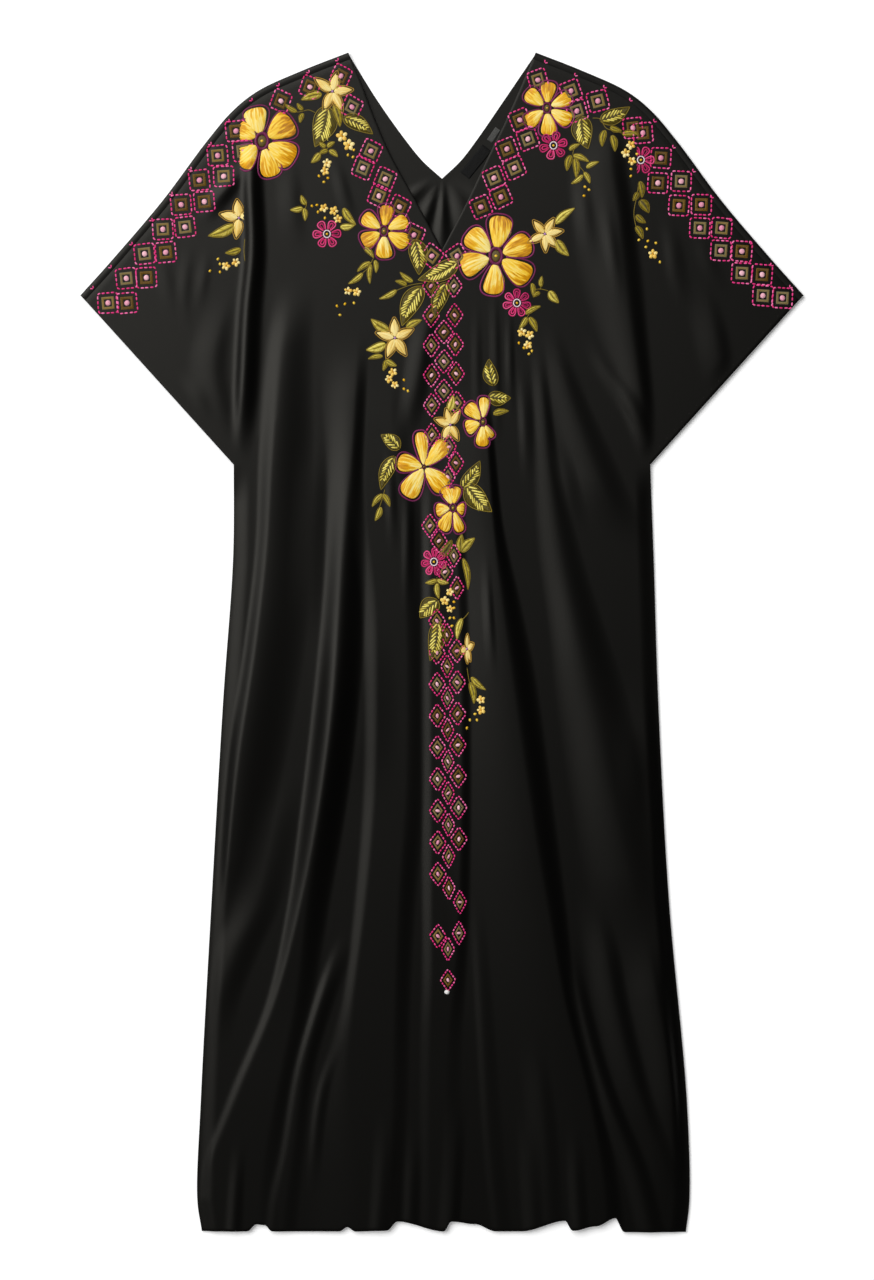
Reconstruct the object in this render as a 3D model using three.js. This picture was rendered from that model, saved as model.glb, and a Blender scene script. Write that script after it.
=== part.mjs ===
// A black silk caftan with short sleeves cut in one with its body, laid face up on a flat surface.
// Millimetres: x runs across the garment, y from the hem to the neck, z up from the surface.
// Left and right are as seen from above, and x = 0 is the line down the middle of the front.

import * as THREE from 'three';

// The cloth and its layers
const CLOTH = 1.2; // thickness of each wall of cloth
const GAP = 0.3; // between two pieces where they are sewn or lie on each other
const BACK_Z = CLOTH / 2; // middle of the back's wall, flat on the surface
const FRONT_Z = 4.4; // middle of the front's wall where it has no fold
const SIDE_Z = BACK_Z + CLOTH + GAP; // middle of the front's wall at the side seams
const TURN = (FRONT_Z - BACK_Z) / 2; // radius of the back's turn over the shoulder
const TURN_INSET = TURN + CLOTH / 2; // from the outline in to where that turn begins
const SHOULDER_WRAP = 8; // from the outline in to the shoulder seam, on the front
const TURN_STEPS = 4; // faces round the turn

// The grid that both panels are worked out on, from the shoulder seam to the hem
const COLUMNS = 26; // from the middle to each side
const CENTRE_CROWDING = 0.72; // width of the columns at the middle, as a share of the mean one
const FRONT_ROWS = { neck: 11, body: 28 };
const BACK_ROWS = { neck: 5, body: 9 };
const SHOULDER_SPREAD = 0.4; // share of the length over which the shoulder's curve dies away
const HEM_Y = -660;
const HEM_SPREAD = 45; // height above the hem over which the hem's lifts die away
const BACK_HEM_INSET = 2; // the back ends this far inside the front, so that it stays hidden

// The outline, each row a point: the distance out from the middle, and y
const SHOULDER = [
  { y: 660, out: 105 },
  { y: 640, out: 156 },
  { y: 617, out: 206 },
  { y: 595, out: 234 },
  { y: 561, out: 263 },
  { y: 494, out: 313 },
  { y: 427, out: 370 },
  { y: 388, out: 405 },
];
const UNDERARM = { y: 199, out: 233 };
const SIDE_SEAM = [
  { y: 199, left: 233, right: 233 },
  { y: 92, left: 234, right: 237 },
  { y: -65, left: 245, right: 242 },
  { y: -289, left: 258, right: 254 },
  { y: -512, left: 270, right: 274 },
  { y: -624, left: 274, right: 277 },
  { y: -660, left: 269, right: 273 },
];
const FRONT_NECK = [
  { y: 629, left: 92, right: 92 },
  { y: 584, left: 75, right: 72 },
  { y: 545, left: 58, right: 53 },
  { y: 494, left: 30, right: 29 },
  { y: 438, left: 0, right: 0 },
];
const BACK_NECK = [
  { y: 606, left: 72, right: 69 },
  { y: 561, left: 40, right: 38 },
  { y: 539, left: 22, right: 21 },
  { y: 519, left: 0, right: 0 },
];

// How far the hem's edge is lifted above its lowest line, where folds carry it up
const HEM_LIFTS = [
  { x: -266, lift: 1 },
  { x: -218, lift: 1 },
  { x: -208, lift: 9 },
  { x: -198, lift: 8 },
  { x: -190, lift: 1 },
  { x: -115, lift: 1 },
  { x: -106, lift: 6 },
  { x: -97, lift: 1 },
  { x: -62, lift: 2 },
  { x: -50, lift: 12 },
  { x: 2, lift: 1 },
  { x: 10, lift: 12 },
  { x: 37, lift: 9 },
  { x: 60, lift: 1 },
  { x: 88, lift: 1 },
  { x: 138, lift: 13 },
  { x: 146, lift: 2 },
  { x: 172, lift: 7 },
  { x: 194, lift: 16 },
  { x: 204, lift: 0 },
  { x: 271, lift: 0 },
];

// The folds of the front. Each fold's rows run down its crest: where the crest's left end is, how far it
// rises, and how wide its left slope, its level top and its right slope are.
const FOLDS = {
  // x, y, rise, left, top, right
  'left armhole': [
    [-214, 600, 0, 12, 0, 14], [-214, 517, 5, 12, 0, 15], [-212, 438, 6, 12, 0, 16], [-218, 370, 6, 12, 0, 18],
    [-222, 290, 6, 12, 0, 18], [-227, 190, 0, 10, 0, 14],
  ],
  'left side': [
    [-164, 420, 0, 22, 0, 26], [-178, 327, 4, 20, 0, 32], [-188, 215, 6, 18, 0, 46],
    [-197, 103, 6.5, 17, 0, 52], [-210, -9, 7.5, 18, 0, 56], [-226, -121, 7.5, 18, 0, 54],
    [-236, -220, 5, 16, 0, 44], [-246, -330, 0, 12, 0, 30],
  ],
  'left front': [
    [-94, 360, 0, 44, 0, 14], [-98, 271, 3, 38, 0, 14], [-104, 190, 5.5, 28, 0, 16],
    [-112, 103, 8, 24, 0, 26], [-117, 10, 10, 24, 0, 30], [-127, -90, 11.5, 28, 0, 30],
    [-140, -190, 11.5, 27, 0, 30], [-160, -289, 8.5, 20, 4, 28], [-190, -400, 3.4, 13, 20, 22],
    [-230, -512, 1.8, 12, 42, 20], [-266, -610, 1.1, 10, 62, 22], [-270, -690, 0.8, 10, 66, 22],
  ],
  'left middle': [
    [-74, 330, 0, 16, 12, 20], [-84, 230, 1.8, 16, 28, 20], [-84, 150, 2.6, 18, 34, 26],
    [-74, 47, 3.4, 20, 22, 26], [-76, -65, 3.4, 20, 24, 24], [-82, -177, 3.4, 18, 30, 24],
    [-92, -289, 3.6, 16, 38, 22], [-104, -400, 3, 15, 50, 20], [-122, -490, 1.6, 16, 66, 20],
    [-138, -600, 0.8, 18, 80, 16], [-140, -690, 0.8, 18, 82, 14],
  ],
  'left drag': [
    [-168, -120, 0, 26, 0, 22], [-188, -215, 2, 26, 0, 24], [-208, -295, 3.4, 24, 0, 24],
    [-230, -345, 4, 22, 0, 24], [-246, -395, 2.8, 18, 0, 20], [-254, -470, 0, 14, 0, 14],
  ],
  'left crease': [
    [-104, -315, 0, 9, 0, 20], [-118, -350, 1.6, 10, 0, 18], [-138, -410, 2, 10, 0, 16],
    [-158, -480, 1.7, 10, 2, 14], [-172, -568, 1.2, 11, 4, 16], [-184, -624, 1.2, 12, 8, 18],
    [-190, -690, 1, 12, 8, 18],
  ],
  'centre band': [
    [-13, 230, 0, 8, 26, 12], [-13, 130, 3, 8, 28, 12], [-13, -65, 5, 7, 34, 12],
    [-12, -289, 5, 7, 30, 14], [-12, -400, 4, 8, 18, 18], [-13, -568, 2, 10, 16, 20],
    [-13, -690, 1.5, 10, 16, 20],
  ],
  'right front': [
    [44, 310, 0, 50, 0, 8], [51, 215, 2.4, 60, 0, 9], [57, 130, 3.6, 60, 0, 12],
    [66, 47, 5.4, 60, 0, 22], [77, -35, 6.4, 80, 0, 28], [92, -140, 6.6, 100, 0, 28],
    [106, -233, 6.2, 110, 0, 26], [118, -300, 5.4, 116, 0, 22], [136, -400, 4.4, 120, 0, 16],
    [164, -512, 3.4, 120, 0, 15], [180, -610, 3, 120, 0, 20], [184, -690, 2.6, 120, 0, 24],
  ],
  'right side': [
    [104, 365, 0, 9, 0, 9], [113, 271, 2, 10, 0, 10], [119, 200, 3, 12, 0, 12],
    [132, 103, 4.4, 18, 0, 22], [150, 15, 5.6, 26, 0, 36], [168, -65, 5.6, 34, 0, 44],
    [184, -150, 5.4, 40, 0, 44], [204, -245, 3.4, 48, 0, 38], [228, -350, 0, 50, 0, 30],
  ],
  'right crease': [
    [134, -310, 0, 11, 0, 14], [154, -400, 1.6, 12, 0, 12], [172, -470, 2.2, 13, 0, 13],
    [190, -525, 2.6, 15, 0, 15], [216, -590, 2, 18, 0, 17], [240, -690, 1.6, 18, 0, 18],
  ],
  'right ridge': [
    [162, -270, 0, 22, 0, 16], [182, -345, 2, 26, 0, 18], [192, -400, 2.6, 26, 0, 18],
    [214, -490, 2.4, 26, 0, 18], [242, -568, 1.8, 22, 0, 16], [262, -650, 0, 18, 0, 14],
  ],
  'right hem': [
    [222, -310, 0, 34, 0, 16], [240, -400, 2.8, 38, 0, 16], [254, -480, 3.4, 32, 0, 14],
    [262, -560, 2, 24, 0, 12], [266, -640, 0, 14, 0, 10],
  ],
  'right chest': [
    [116, 375, 0, 14, 0, 12], [130, 315, 2, 18, 0, 16], [146, 262, 3.4, 24, 0, 24],
    [164, 210, 4.2, 30, 0, 32], [186, 155, 4.2, 38, 0, 34], [222, 95, 0, 44, 0, 24],
  ],
  'right underarm': [
    [160, 355, 0, 12, 0, 12], [184, 305, 3, 13, 0, 14], [206, 272, 4, 14, 0, 16], [222, 240, 4, 12, 0, 12],
    [232, 190, 0, 10, 0, 8],
  ],
  'right armhole': [
    [186, 620, 0, 36, 0, 22], [190, 550, 3, 44, 0, 20], [202, 480, 5, 48, 0, 16],
    [212, 410, 5, 44, 0, 14], [222, 340, 4.6, 32, 0, 12], [229, 270, 3.4, 20, 0, 10],
    [233, 190, 0, 12, 0, 8],
  ],
  'left sleeve': [
    [-234, 410, 0, 20, 0, 12], [-250, 350, 1.8, 26, 0, 16], [-256, 304, 2.2, 28, 0, 18],
    [-248, 262, 2.2, 22, 0, 16], [-236, 205, 0, 14, 0, 10],
  ],
  'right sleeve': [
    [286, 420, 0, 24, 0, 12], [304, 350, 1.4, 28, 0, 16], [312, 305, 1.4, 26, 0, 16],
    [320, 255, 0, 18, 0, 12],
  ],
};
const FOLD_END = 60; // length over which a fold rises from nothing, or sinks back
const NARROWEST_SLOPE = 18; // of a fold, between its foot and its crest

// How near an edge a fold sinks, because the cloth is held or lies flat there
const HELD_EDGES = { shoulder: 34, cuff: 22, side: 16, neck: 26 };
const SIDE_DROP = 18; // width over which the front comes down to its side seam
const UNDERARM_DROP = 45; // and the length, from the underarm down

// Gathers of the back, where its inside shows below the neck. They spread like rays from a point over the
// neck's lowest point: how high they rise, how many degrees apart they are, and how far from that point
// they start, are full, fade and end.
const GATHERS = { x: 2, y: 528, rise: 2.2, pitch: 21, starts: 12, full: 46, fades: 96, ends: 140 };
const GATHER_REACH = { inner: 48, outer: 66 }; // degrees from straight down, where they begin to sink and end

// The plain woven label and the small size tab, on the inside of the back beside its neck edge
const LABEL = { x: 38, y: 538, length: 40, width: 13, turn: 51, thickness: 1, corner: 1.5 };
const SIZE_TAB = { x: 58, y: 568, length: 17, width: 7, turn: 56, thickness: 1, corner: 1 };

const SILK = new THREE.MeshStandardMaterial({ color: 0x191715, roughness: 0.42, metalness: 0 });
const INNER_SILK = new THREE.MeshStandardMaterial({ color: 0x211f1c, roughness: 0.5, metalness: 0 });
const WOVEN_BLACK = new THREE.MeshStandardMaterial({ color: 0x0e0e0e, roughness: 0.7, metalness: 0 });
const WOVEN_GREY = new THREE.MeshStandardMaterial({ color: 0x8d8a84, roughness: 0.8, metalness: 0 });

const SIDES = { left: -1, right: 1 };

function smooth(value) {
  return THREE.MathUtils.smoothstep(value, 0, 1);
}

function between(rows, column, key, value) {
  // Reads a table's column at a value of its key, in straight stretches
  const last = rows.length - 1;
  const rising = rows[last][key] > rows[0][key];
  let i = 0;
  while (i < last - 1 && (rising ? value > rows[i + 1][key] : value < rows[i + 1][key])) i += 1;
  const share = (value - rows[i][key]) / (rows[i + 1][key] - rows[i][key]);
  return THREE.MathUtils.lerp(rows[i][column], rows[i + 1][column], THREE.MathUtils.clamp(share, 0, 1));
}

function edgePoints(rows, side) {
  return rows.map((row) => new THREE.Vector3(SIDES[side] * (row.out ?? row[side]), row.y, 0));
}

function shoulderLine(side, inset) {
  // The shoulder and sleeve top, moved in from the outline by inset
  const outline = new THREE.CatmullRomCurve3(edgePoints(SHOULDER, side), false, 'centripetal');
  return (share) => {
    const along = outline.getTangentAt(share);
    const inward = new THREE.Vector3(along.y, -along.x, 0).multiplyScalar(SIDES[side]);
    return outline.getPointAt(share).addScaledVector(inward, inset);
  };
}

function hemLift(x, y) {
  return between(HEM_LIFTS, 'lift', 'x', x) * smooth(1 - (y - HEM_Y) / HEM_SPREAD);
}

function panelPlan(side, neck, rows, inset, hemInset) {
  // One half of a panel in plan: a point for a share across, from the middle, and a row down
  const top = shoulderLine(side, inset);
  const neckLine = new THREE.CatmullRomCurve3([top(0), ...edgePoints(neck, side)], false, 'centripetal');
  const cuffLine = new THREE.LineCurve3(top(1), ...edgePoints([UNDERARM], side));
  const neckEnd = neckLine.getPoint(1);
  const hemMiddle = new THREE.Vector3(0, HEM_Y + hemInset, 0);
  const middleLine = new THREE.LineCurve3(neckEnd, hemMiddle);
  const seam = SIDE_SEAM.map((row) => ({ ...row, y: Math.max(row.y, HEM_Y + hemInset) }));
  const sideLine = new THREE.CatmullRomCurve3(edgePoints(seam, side), false, 'centripetal');
  return (across, row) => {
    const inNeck = row <= rows.neck;
    const share = inNeck ? row / rows.neck : (row - rows.neck) / rows.body;
    const inner = (inNeck ? neckLine : middleLine).getPointAt(share);
    const outer = (inNeck ? cuffLine : sideLine).getPointAt(share);
    const point = inner.lerp(outer, across);
    const chord = top(0).lerp(top(1), across);
    const down = row / (rows.neck + rows.body);
    const curve = Math.max(0, 1 - down / SHOULDER_SPREAD) ** 2;
    point.addScaledVector(top(across).sub(chord), curve);
    point.y += hemLift(point.x, point.y);
    return point;
  };
}

function distanceTo(points, x, y) {
  // From a place in plan to a line of straight stretches
  const place = new THREE.Vector3(x, y, 0);
  const nearest = new THREE.Vector3();
  const stretches = points.slice(1).map((end, i) => new THREE.Line3(points[i], end));
  const reach = stretches.map((line) => line.closestPointToPoint(place, true, nearest).distanceTo(place));
  return Math.min(...reach);
}

const HELD_LINES = Object.keys(SIDES).flatMap((side) => {
  const cuffTop = SHOULDER[SHOULDER.length - 1];
  return [
    { points: edgePoints(SHOULDER, side), width: HELD_EDGES.shoulder },
    { points: edgePoints([cuffTop, UNDERARM], side), width: HELD_EDGES.cuff },
    { points: edgePoints(SIDE_SEAM, side), width: HELD_EDGES.side },
    { points: edgePoints([SHOULDER[0], ...FRONT_NECK], side), width: HELD_EDGES.neck },
  ];
});

function heldFlat(x, y) {
  // 0 where an edge holds the cloth flat, up to 1 where it is free to fold
  const shares = HELD_LINES.map((line) => smooth(distanceTo(line.points, x, y) / line.width));
  return Math.min(...shares);
}

const CRESTS = Object.values(FOLDS).map((fold) =>
  fold.map(([x, y, rise, left, top, right]) => ({ x, y, rise, left, top, right })),
);

function foldRise(rows, x, y) {
  const start = rows[0].y;
  const end = rows[rows.length - 1].y;
  if (y >= start || y <= end) return 0;
  const ends = smooth((start - y) / FOLD_END) * (end < HEM_Y ? 1 : smooth((y - end) / FOLD_END));
  const crest = (column) => between(rows, column, 'y', y);
  const offset = x - crest('x');
  const beyond = offset < 0 ? -offset : Math.max(0, offset - crest('top'));
  const slope = beyond / Math.max(NARROWEST_SLOPE, crest(offset < 0 ? 'left' : 'right'));
  return crest('rise') * ends * smooth(1 - slope);
}

function frontHeight(x, y) {
  const side = x < 0 ? 'left' : 'right';
  const inFromSeam = between(SIDE_SEAM, side, 'y', y) - Math.abs(x);
  const atSeam = smooth(1 - inFromSeam / SIDE_DROP) * smooth((UNDERARM.y - y) / UNDERARM_DROP);
  const folds = CRESTS.reduce((sum, rows) => sum + foldRise(rows, x, y), 0);
  return FRONT_Z - (FRONT_Z - SIDE_Z) * atSeam + folds * heldFlat(x, y);
}

function backHeight(x, y) {
  const { rise, pitch, starts, full, fades, ends } = GATHERS;
  const { inner, outer } = GATHER_REACH;
  const across = x - GATHERS.x;
  const down = GATHERS.y - y;
  const out = Math.hypot(across, down);
  const turn = THREE.MathUtils.radToDeg(Math.atan2(across, down));
  const lengthFade = smooth((out - starts) / (full - starts)) * smooth((ends - out) / (ends - fades));
  const sideFade = smooth((outer - Math.abs(turn)) / (outer - inner));
  const wave = 0.5 + 0.5 * Math.cos((2 * Math.PI * turn) / pitch);
  return BACK_Z + rise * wave * lengthFade * sideFade;
}

function columnShare(column) {
  // Columns are narrower towards the middle of the garment
  const share = column / COLUMNS;
  return share * (CENTRE_CROWDING + (1 - CENTRE_CROWDING) * share);
}

class Cloth {
  // Collects the quads of a panel's middle surface, with shared corners, and gives it its wall
  constructor() {
    this.points = [];
    this.quads = [];
    this.known = new Map();
  }

  corner(point) {
    const key = point.toArray().map((value) => value.toFixed(3)).join(' ');
    if (!this.known.has(key)) {
      this.known.set(key, this.points.length);
      this.points.push(point);
    }
    return this.known.get(key);
  }

  addGrid(rows, side, heightAt) {
    // rows of points, from the shoulder down and from the middle out
    const grid = rows.map((row) => row.map((point) => this.corner(point)));
    for (let r = 0; r < grid.length - 1; r += 1) {
      for (let c = 0; c < COLUMNS; c += 1) {
        const corners = [grid[r][c], grid[r + 1][c], grid[r + 1][c + 1], grid[r][c + 1]];
        this.quads.push({ corners: side === 'right' ? corners : corners.reverse(), heightAt });
      }
    }
  }

  triangles() {
    // Each quad is cut along the diagonal that lies nearer to the cloth's true height
    return this.quads.flatMap(({ corners: [a, b, c, d], heightAt }) => {
      const miss = (from, to) => {
        const middle = this.points[from].clone().lerp(this.points[to], 0.5);
        return Math.abs(middle.z - heightAt(middle.x, middle.y));
      };
      return miss(a, c) <= miss(b, d) ? [[a, b, c], [a, c, d]] : [[a, b, d], [b, c, d]];
    });
  }

  solid(thickness) {
    const triangles = this.triangles();
    const normals = this.points.map(() => new THREE.Vector3());
    const edges = new Map();
    for (const triangle of triangles) {
      const [a, b, c] = triangle.map((i) => this.points[i]);
      const normal = b.clone().sub(a).cross(c.clone().sub(a));
      triangle.forEach((i) => normals[i].add(normal));
      triangle.forEach((from, k) => edges.set(`${from} ${triangle[(k + 1) % 3]}`, true));
    }
    const outer = this.points.map((p, i) => p.clone().addScaledVector(normals[i].normalize(), thickness / 2));
    const inner = this.points.map((p, i) => p.clone().addScaledVector(normals[i], -thickness / 2));
    const count = this.points.length;
    const faces = triangles.flatMap(([a, b, c]) => [[a, b, c], [a + count, c + count, b + count]]);
    for (const edge of edges.keys()) {
      const [from, to] = edge.split(' ').map(Number);
      if (!edges.has(`${to} ${from}`)) {
        faces.push([from, from + count, to + count], [from, to + count, to]);
      }
    }
    const geometry = new THREE.BufferGeometry();
    const positions = [...outer, ...inner].flatMap((point) => point.toArray());
    geometry.setAttribute('position', new THREE.Float32BufferAttribute(positions, 3));
    geometry.setIndex(faces.flat());
    geometry.computeVertexNormals();
    return geometry;
  }
}

function gridRows(count, pointAt) {
  const columns = Array.from({ length: COLUMNS + 1 }, (_, c) => columnShare(c));
  return Array.from({ length: count + 1 }, (_, row) => columns.map((across) => pointAt(across, row)));
}

function frontPanel() {
  // The front with the front halves of both sleeves, cut in one
  const cloth = new Cloth();
  for (const side of Object.keys(SIDES)) {
    const plan = panelPlan(side, FRONT_NECK, FRONT_ROWS, SHOULDER_WRAP + GAP, 0);
    const rows = gridRows(FRONT_ROWS.neck + FRONT_ROWS.body, (across, row) => {
      const point = plan(across, row);
      return point.setZ(frontHeight(point.x, point.y));
    });
    cloth.addGrid(rows, side, frontHeight);
  }
  return cloth.solid(CLOTH);
}

function backPanel() {
  // The back with the back halves of both sleeves, turned over the shoulders to the forward seams
  const cloth = new Cloth();
  for (const side of Object.keys(SIDES)) {
    const plan = panelPlan(side, BACK_NECK, BACK_ROWS, TURN_INSET, BACK_HEM_INSET);
    const flat = gridRows(BACK_ROWS.neck + BACK_ROWS.body, (across, row) => {
      const point = plan(across, row);
      return point.setZ(backHeight(point.x, point.y));
    });
    const turn = gridRows(TURN_STEPS, (across, row) => {
      const angle = Math.PI * (1 - row / TURN_STEPS);
      const point = shoulderLine(side, TURN_INSET - TURN * Math.sin(angle))(across);
      return point.setZ(BACK_Z + TURN * (1 - Math.cos(angle)));
    });
    const seam = gridRows(0, (across) => shoulderLine(side, SHOULDER_WRAP)(across).setZ(FRONT_Z));
    cloth.addGrid([...seam, ...turn.slice(0, -1), ...flat], side, backHeight);
  }
  return cloth.solid(CLOTH);
}

function wovenPatch({ length, width, thickness, corner }) {
  const outline = new THREE.Shape();
  const x = length / 2;
  const y = width / 2;
  outline.moveTo(corner - x, -y);
  outline.lineTo(x - corner, -y);
  outline.absarc(x - corner, corner - y, corner, -Math.PI / 2, 0);
  outline.absarc(x - corner, y - corner, corner, 0, Math.PI / 2);
  outline.absarc(corner - x, y - corner, corner, Math.PI / 2, Math.PI);
  outline.absarc(corner - x, corner - y, corner, Math.PI, Math.PI * 1.5);
  return new THREE.ExtrudeGeometry(outline, { depth: thickness, bevelEnabled: false, curveSegments: 3 });
}

function placed(name, geometry, material, place = { x: 0, y: 0, turn: 0 }, z = 0) {
  const mesh = new THREE.Mesh(geometry, material);
  mesh.name = name;
  mesh.position.set(place.x, place.y, z);
  mesh.rotation.z = THREE.MathUtils.degToRad(place.turn);
  return mesh;
}

const onBack = BACK_Z + CLOTH / 2 + GAP;
const caftan = new THREE.Group();
caftan.add(
  placed('back_panel', backPanel(), INNER_SILK),
  placed('front_panel', frontPanel(), SILK),
  placed('neck_label', wovenPatch(LABEL), WOVEN_BLACK, LABEL, onBack),
  placed('size_tab', wovenPatch(SIZE_TAB), WOVEN_GREY, SIZE_TAB, onBack),
);

export default caftan;
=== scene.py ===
import itertools
import math
from collections import namedtuple

import bmesh
import bpy
import numpy as np
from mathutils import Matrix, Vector


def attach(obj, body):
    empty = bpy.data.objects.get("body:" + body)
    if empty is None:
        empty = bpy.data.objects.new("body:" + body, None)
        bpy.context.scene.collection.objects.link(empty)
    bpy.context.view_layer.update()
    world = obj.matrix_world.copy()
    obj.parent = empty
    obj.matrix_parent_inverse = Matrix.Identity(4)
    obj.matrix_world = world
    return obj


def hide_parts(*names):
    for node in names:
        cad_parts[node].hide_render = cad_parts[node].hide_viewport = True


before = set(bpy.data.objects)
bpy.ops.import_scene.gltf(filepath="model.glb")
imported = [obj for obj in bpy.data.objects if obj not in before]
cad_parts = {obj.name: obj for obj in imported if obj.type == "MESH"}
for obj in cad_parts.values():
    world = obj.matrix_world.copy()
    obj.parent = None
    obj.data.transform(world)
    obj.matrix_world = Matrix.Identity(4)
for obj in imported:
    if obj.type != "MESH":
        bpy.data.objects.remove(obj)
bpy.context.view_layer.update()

# The camera hangs over the garment and looks straight down, as it is laid out to be photographed.
# The picture shows a strip of the surface a little longer than the caftan.
# Lens and sensor are in millimetres, the rest is in metres.
LENS = 85
SENSOR = 36
PICTURE_HEIGHT = 1.432
PICTURE_MIDDLE = (-0.0056, 0.0022)
CLOTH_HEIGHT = 0.005

camera = bpy.data.objects.new("camera", bpy.data.cameras.new("camera"))
camera.data.lens = LENS
camera.data.sensor_width = SENSOR
camera.location = (*PICTURE_MIDDLE, PICTURE_HEIGHT * LENS / SENSOR + CLOTH_HEIGHT)
bpy.context.scene.collection.objects.link(camera)
bpy.context.scene.camera = camera

# A large soft box lights the table from the upper left, and a long low one beyond the hem catches the hem's
# edges. The rest of the room is nearly dark, so that the slopes that face right stay black.
SOFT_BOXES = [
    # name, place, aimed at, width, height, watts
    ("key_light", (-3.4, 3.2, 5.8), (0.0, 0.0, 0.0), 8.0, 6.0, 790),
    ("foot_light", (0.8, -5.0, 1.4), (0.1, -0.4, 0.0), 6.0, 0.8, 70),
]
ROOM_LIGHT = 0.012
TABLE_GLOW = 0.24
TABLE_SIZE = 9.0
TABLE_DROP = 0.0002
TABLE_GRAIN = 900

for name, place, aim, width, height, watts in SOFT_BOXES:
    lamp = bpy.data.lights.new(name, "AREA")
    lamp.shape = "RECTANGLE"
    lamp.size = width
    lamp.size_y = height
    lamp.energy = watts
    holder = bpy.data.objects.new(name, lamp)
    holder.location = place
    towards = Vector(aim) - Vector(place)
    holder.rotation_euler = towards.to_track_quat("-Z", "Y").to_euler()
    bpy.context.scene.collection.objects.link(holder)

room = bpy.data.worlds.new("room")
room.use_nodes = True
room.node_tree.nodes["Background"].inputs["Color"].default_value = (1.0, 1.0, 1.0, 1.0)
room.node_tree.nodes["Background"].inputs["Strength"].default_value = ROOM_LIGHT
bpy.context.scene.world = room
bpy.context.scene.view_settings.view_transform = "Standard"


def fill(tree, node, **sockets):
    """Give a node's sockets their values, or join them to other nodes' outputs"""
    for name, value in sockets.items():
        socket = node.inputs[name.replace("_", " ")]
        if isinstance(value, bpy.types.NodeSocket):
            tree.links.new(value, socket)
        else:
            socket.default_value = value
    return node


def new_node(tree, kind, **sockets):
    return fill(tree, tree.nodes.new("ShaderNode" + kind), **sockets)


def colour_between(tree, share, first, second):
    """A colour that goes from the first to the second with share"""
    mix = tree.nodes.new("ShaderNodeMix")
    mix.data_type = "RGBA"
    return fill(tree, mix, Factor=share, A=(*first, 1.0), B=(*second, 1.0)).outputs["Result"]


def new_material(name, roughness, **shader_values):
    """A material with its shader, whose sockets take the values that are the same all over"""
    material = bpy.data.materials.new(name)
    material.use_nodes = True
    tree = material.node_tree
    shader = fill(tree, tree.nodes["Principled BSDF"], Roughness=roughness, **shader_values)
    return material, tree, shader


def white_table_top():
    """Matt white acrylic, lit a little from under it, with a hardly visible grain"""
    material, tree, shader = new_material(
        "white_table_top", 0.9, Emission_Color=(1.0, 1.0, 1.0, 1.0), Emission_Strength=TABLE_GLOW)
    grain = new_node(tree, "TexNoise", Scale=TABLE_GRAIN)
    fill(tree, shader, Base_Color=colour_between(tree, grain.outputs["Fac"], (0.93,) * 3, (0.96,) * 3))
    return material


bpy.ops.mesh.primitive_plane_add(size=TABLE_SIZE, location=(0.0, 0.0, -TABLE_DROP))
table_top = bpy.context.object
table_top.name = "table_top"
table_top.data.materials.append(white_table_top())

# The front of the caftan: one piece of black silk satin, with the front halves of both sleeves cut in one
# with it, and a V neck. It lies in soft folds from the chest to the hem. Its sizes are in millimetres, and
# x runs across from the middle of the front, y from the hem to the neck, z up from the table.
MM = 0.001
CLOTH = 1.2
FRONT_Z = 4.4
SIDE_Z = 2.1
SHOULDER_WRAP = 8.0
SEAM_GAP = 0.3
HEM_Y = -660
HEM_SPREAD = 45
SHOULDER_SPREAD = 0.4
FRONT_COLUMNS = 138
FRONT_ROWS = {"neck": 70, "body": 254}
CENTRE_CROWDING = 0.85

Edge = namedtuple("Edge", "y left right")
SHOULDER = [
    Edge(660, 105, 105), Edge(640, 156, 156), Edge(617, 206, 206), Edge(595, 234, 234), Edge(561, 263, 263),
    Edge(494, 313, 313), Edge(427, 370, 370), Edge(388, 405, 405),
]
UNDERARM = Edge(199, 233, 233)
SIDE_SEAM = [
    Edge(199, 233, 233), Edge(92, 234, 237), Edge(-65, 245, 242), Edge(-289, 258, 254),
    Edge(-512, 270, 274), Edge(-624, 274, 277), Edge(-660, 269, 273),
]
FRONT_NECK = [
    Edge(629, 92, 92), Edge(584, 75, 72), Edge(545, 58, 53), Edge(494, 30, 29), Edge(438, 0, 0),
]
HEM_LIFTS = [
    # x, lift
    (-266, 1), (-218, 1), (-208, 9), (-198, 8), (-190, 1), (-115, 1), (-106, 6), (-97, 1), (-62, 2),
    (-50, 12), (2, 1), (10, 12), (37, 9), (60, 1), (88, 1), (138, 13), (146, 2), (172, 7), (194, 16),
    (204, 0), (271, 0),
]

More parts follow.
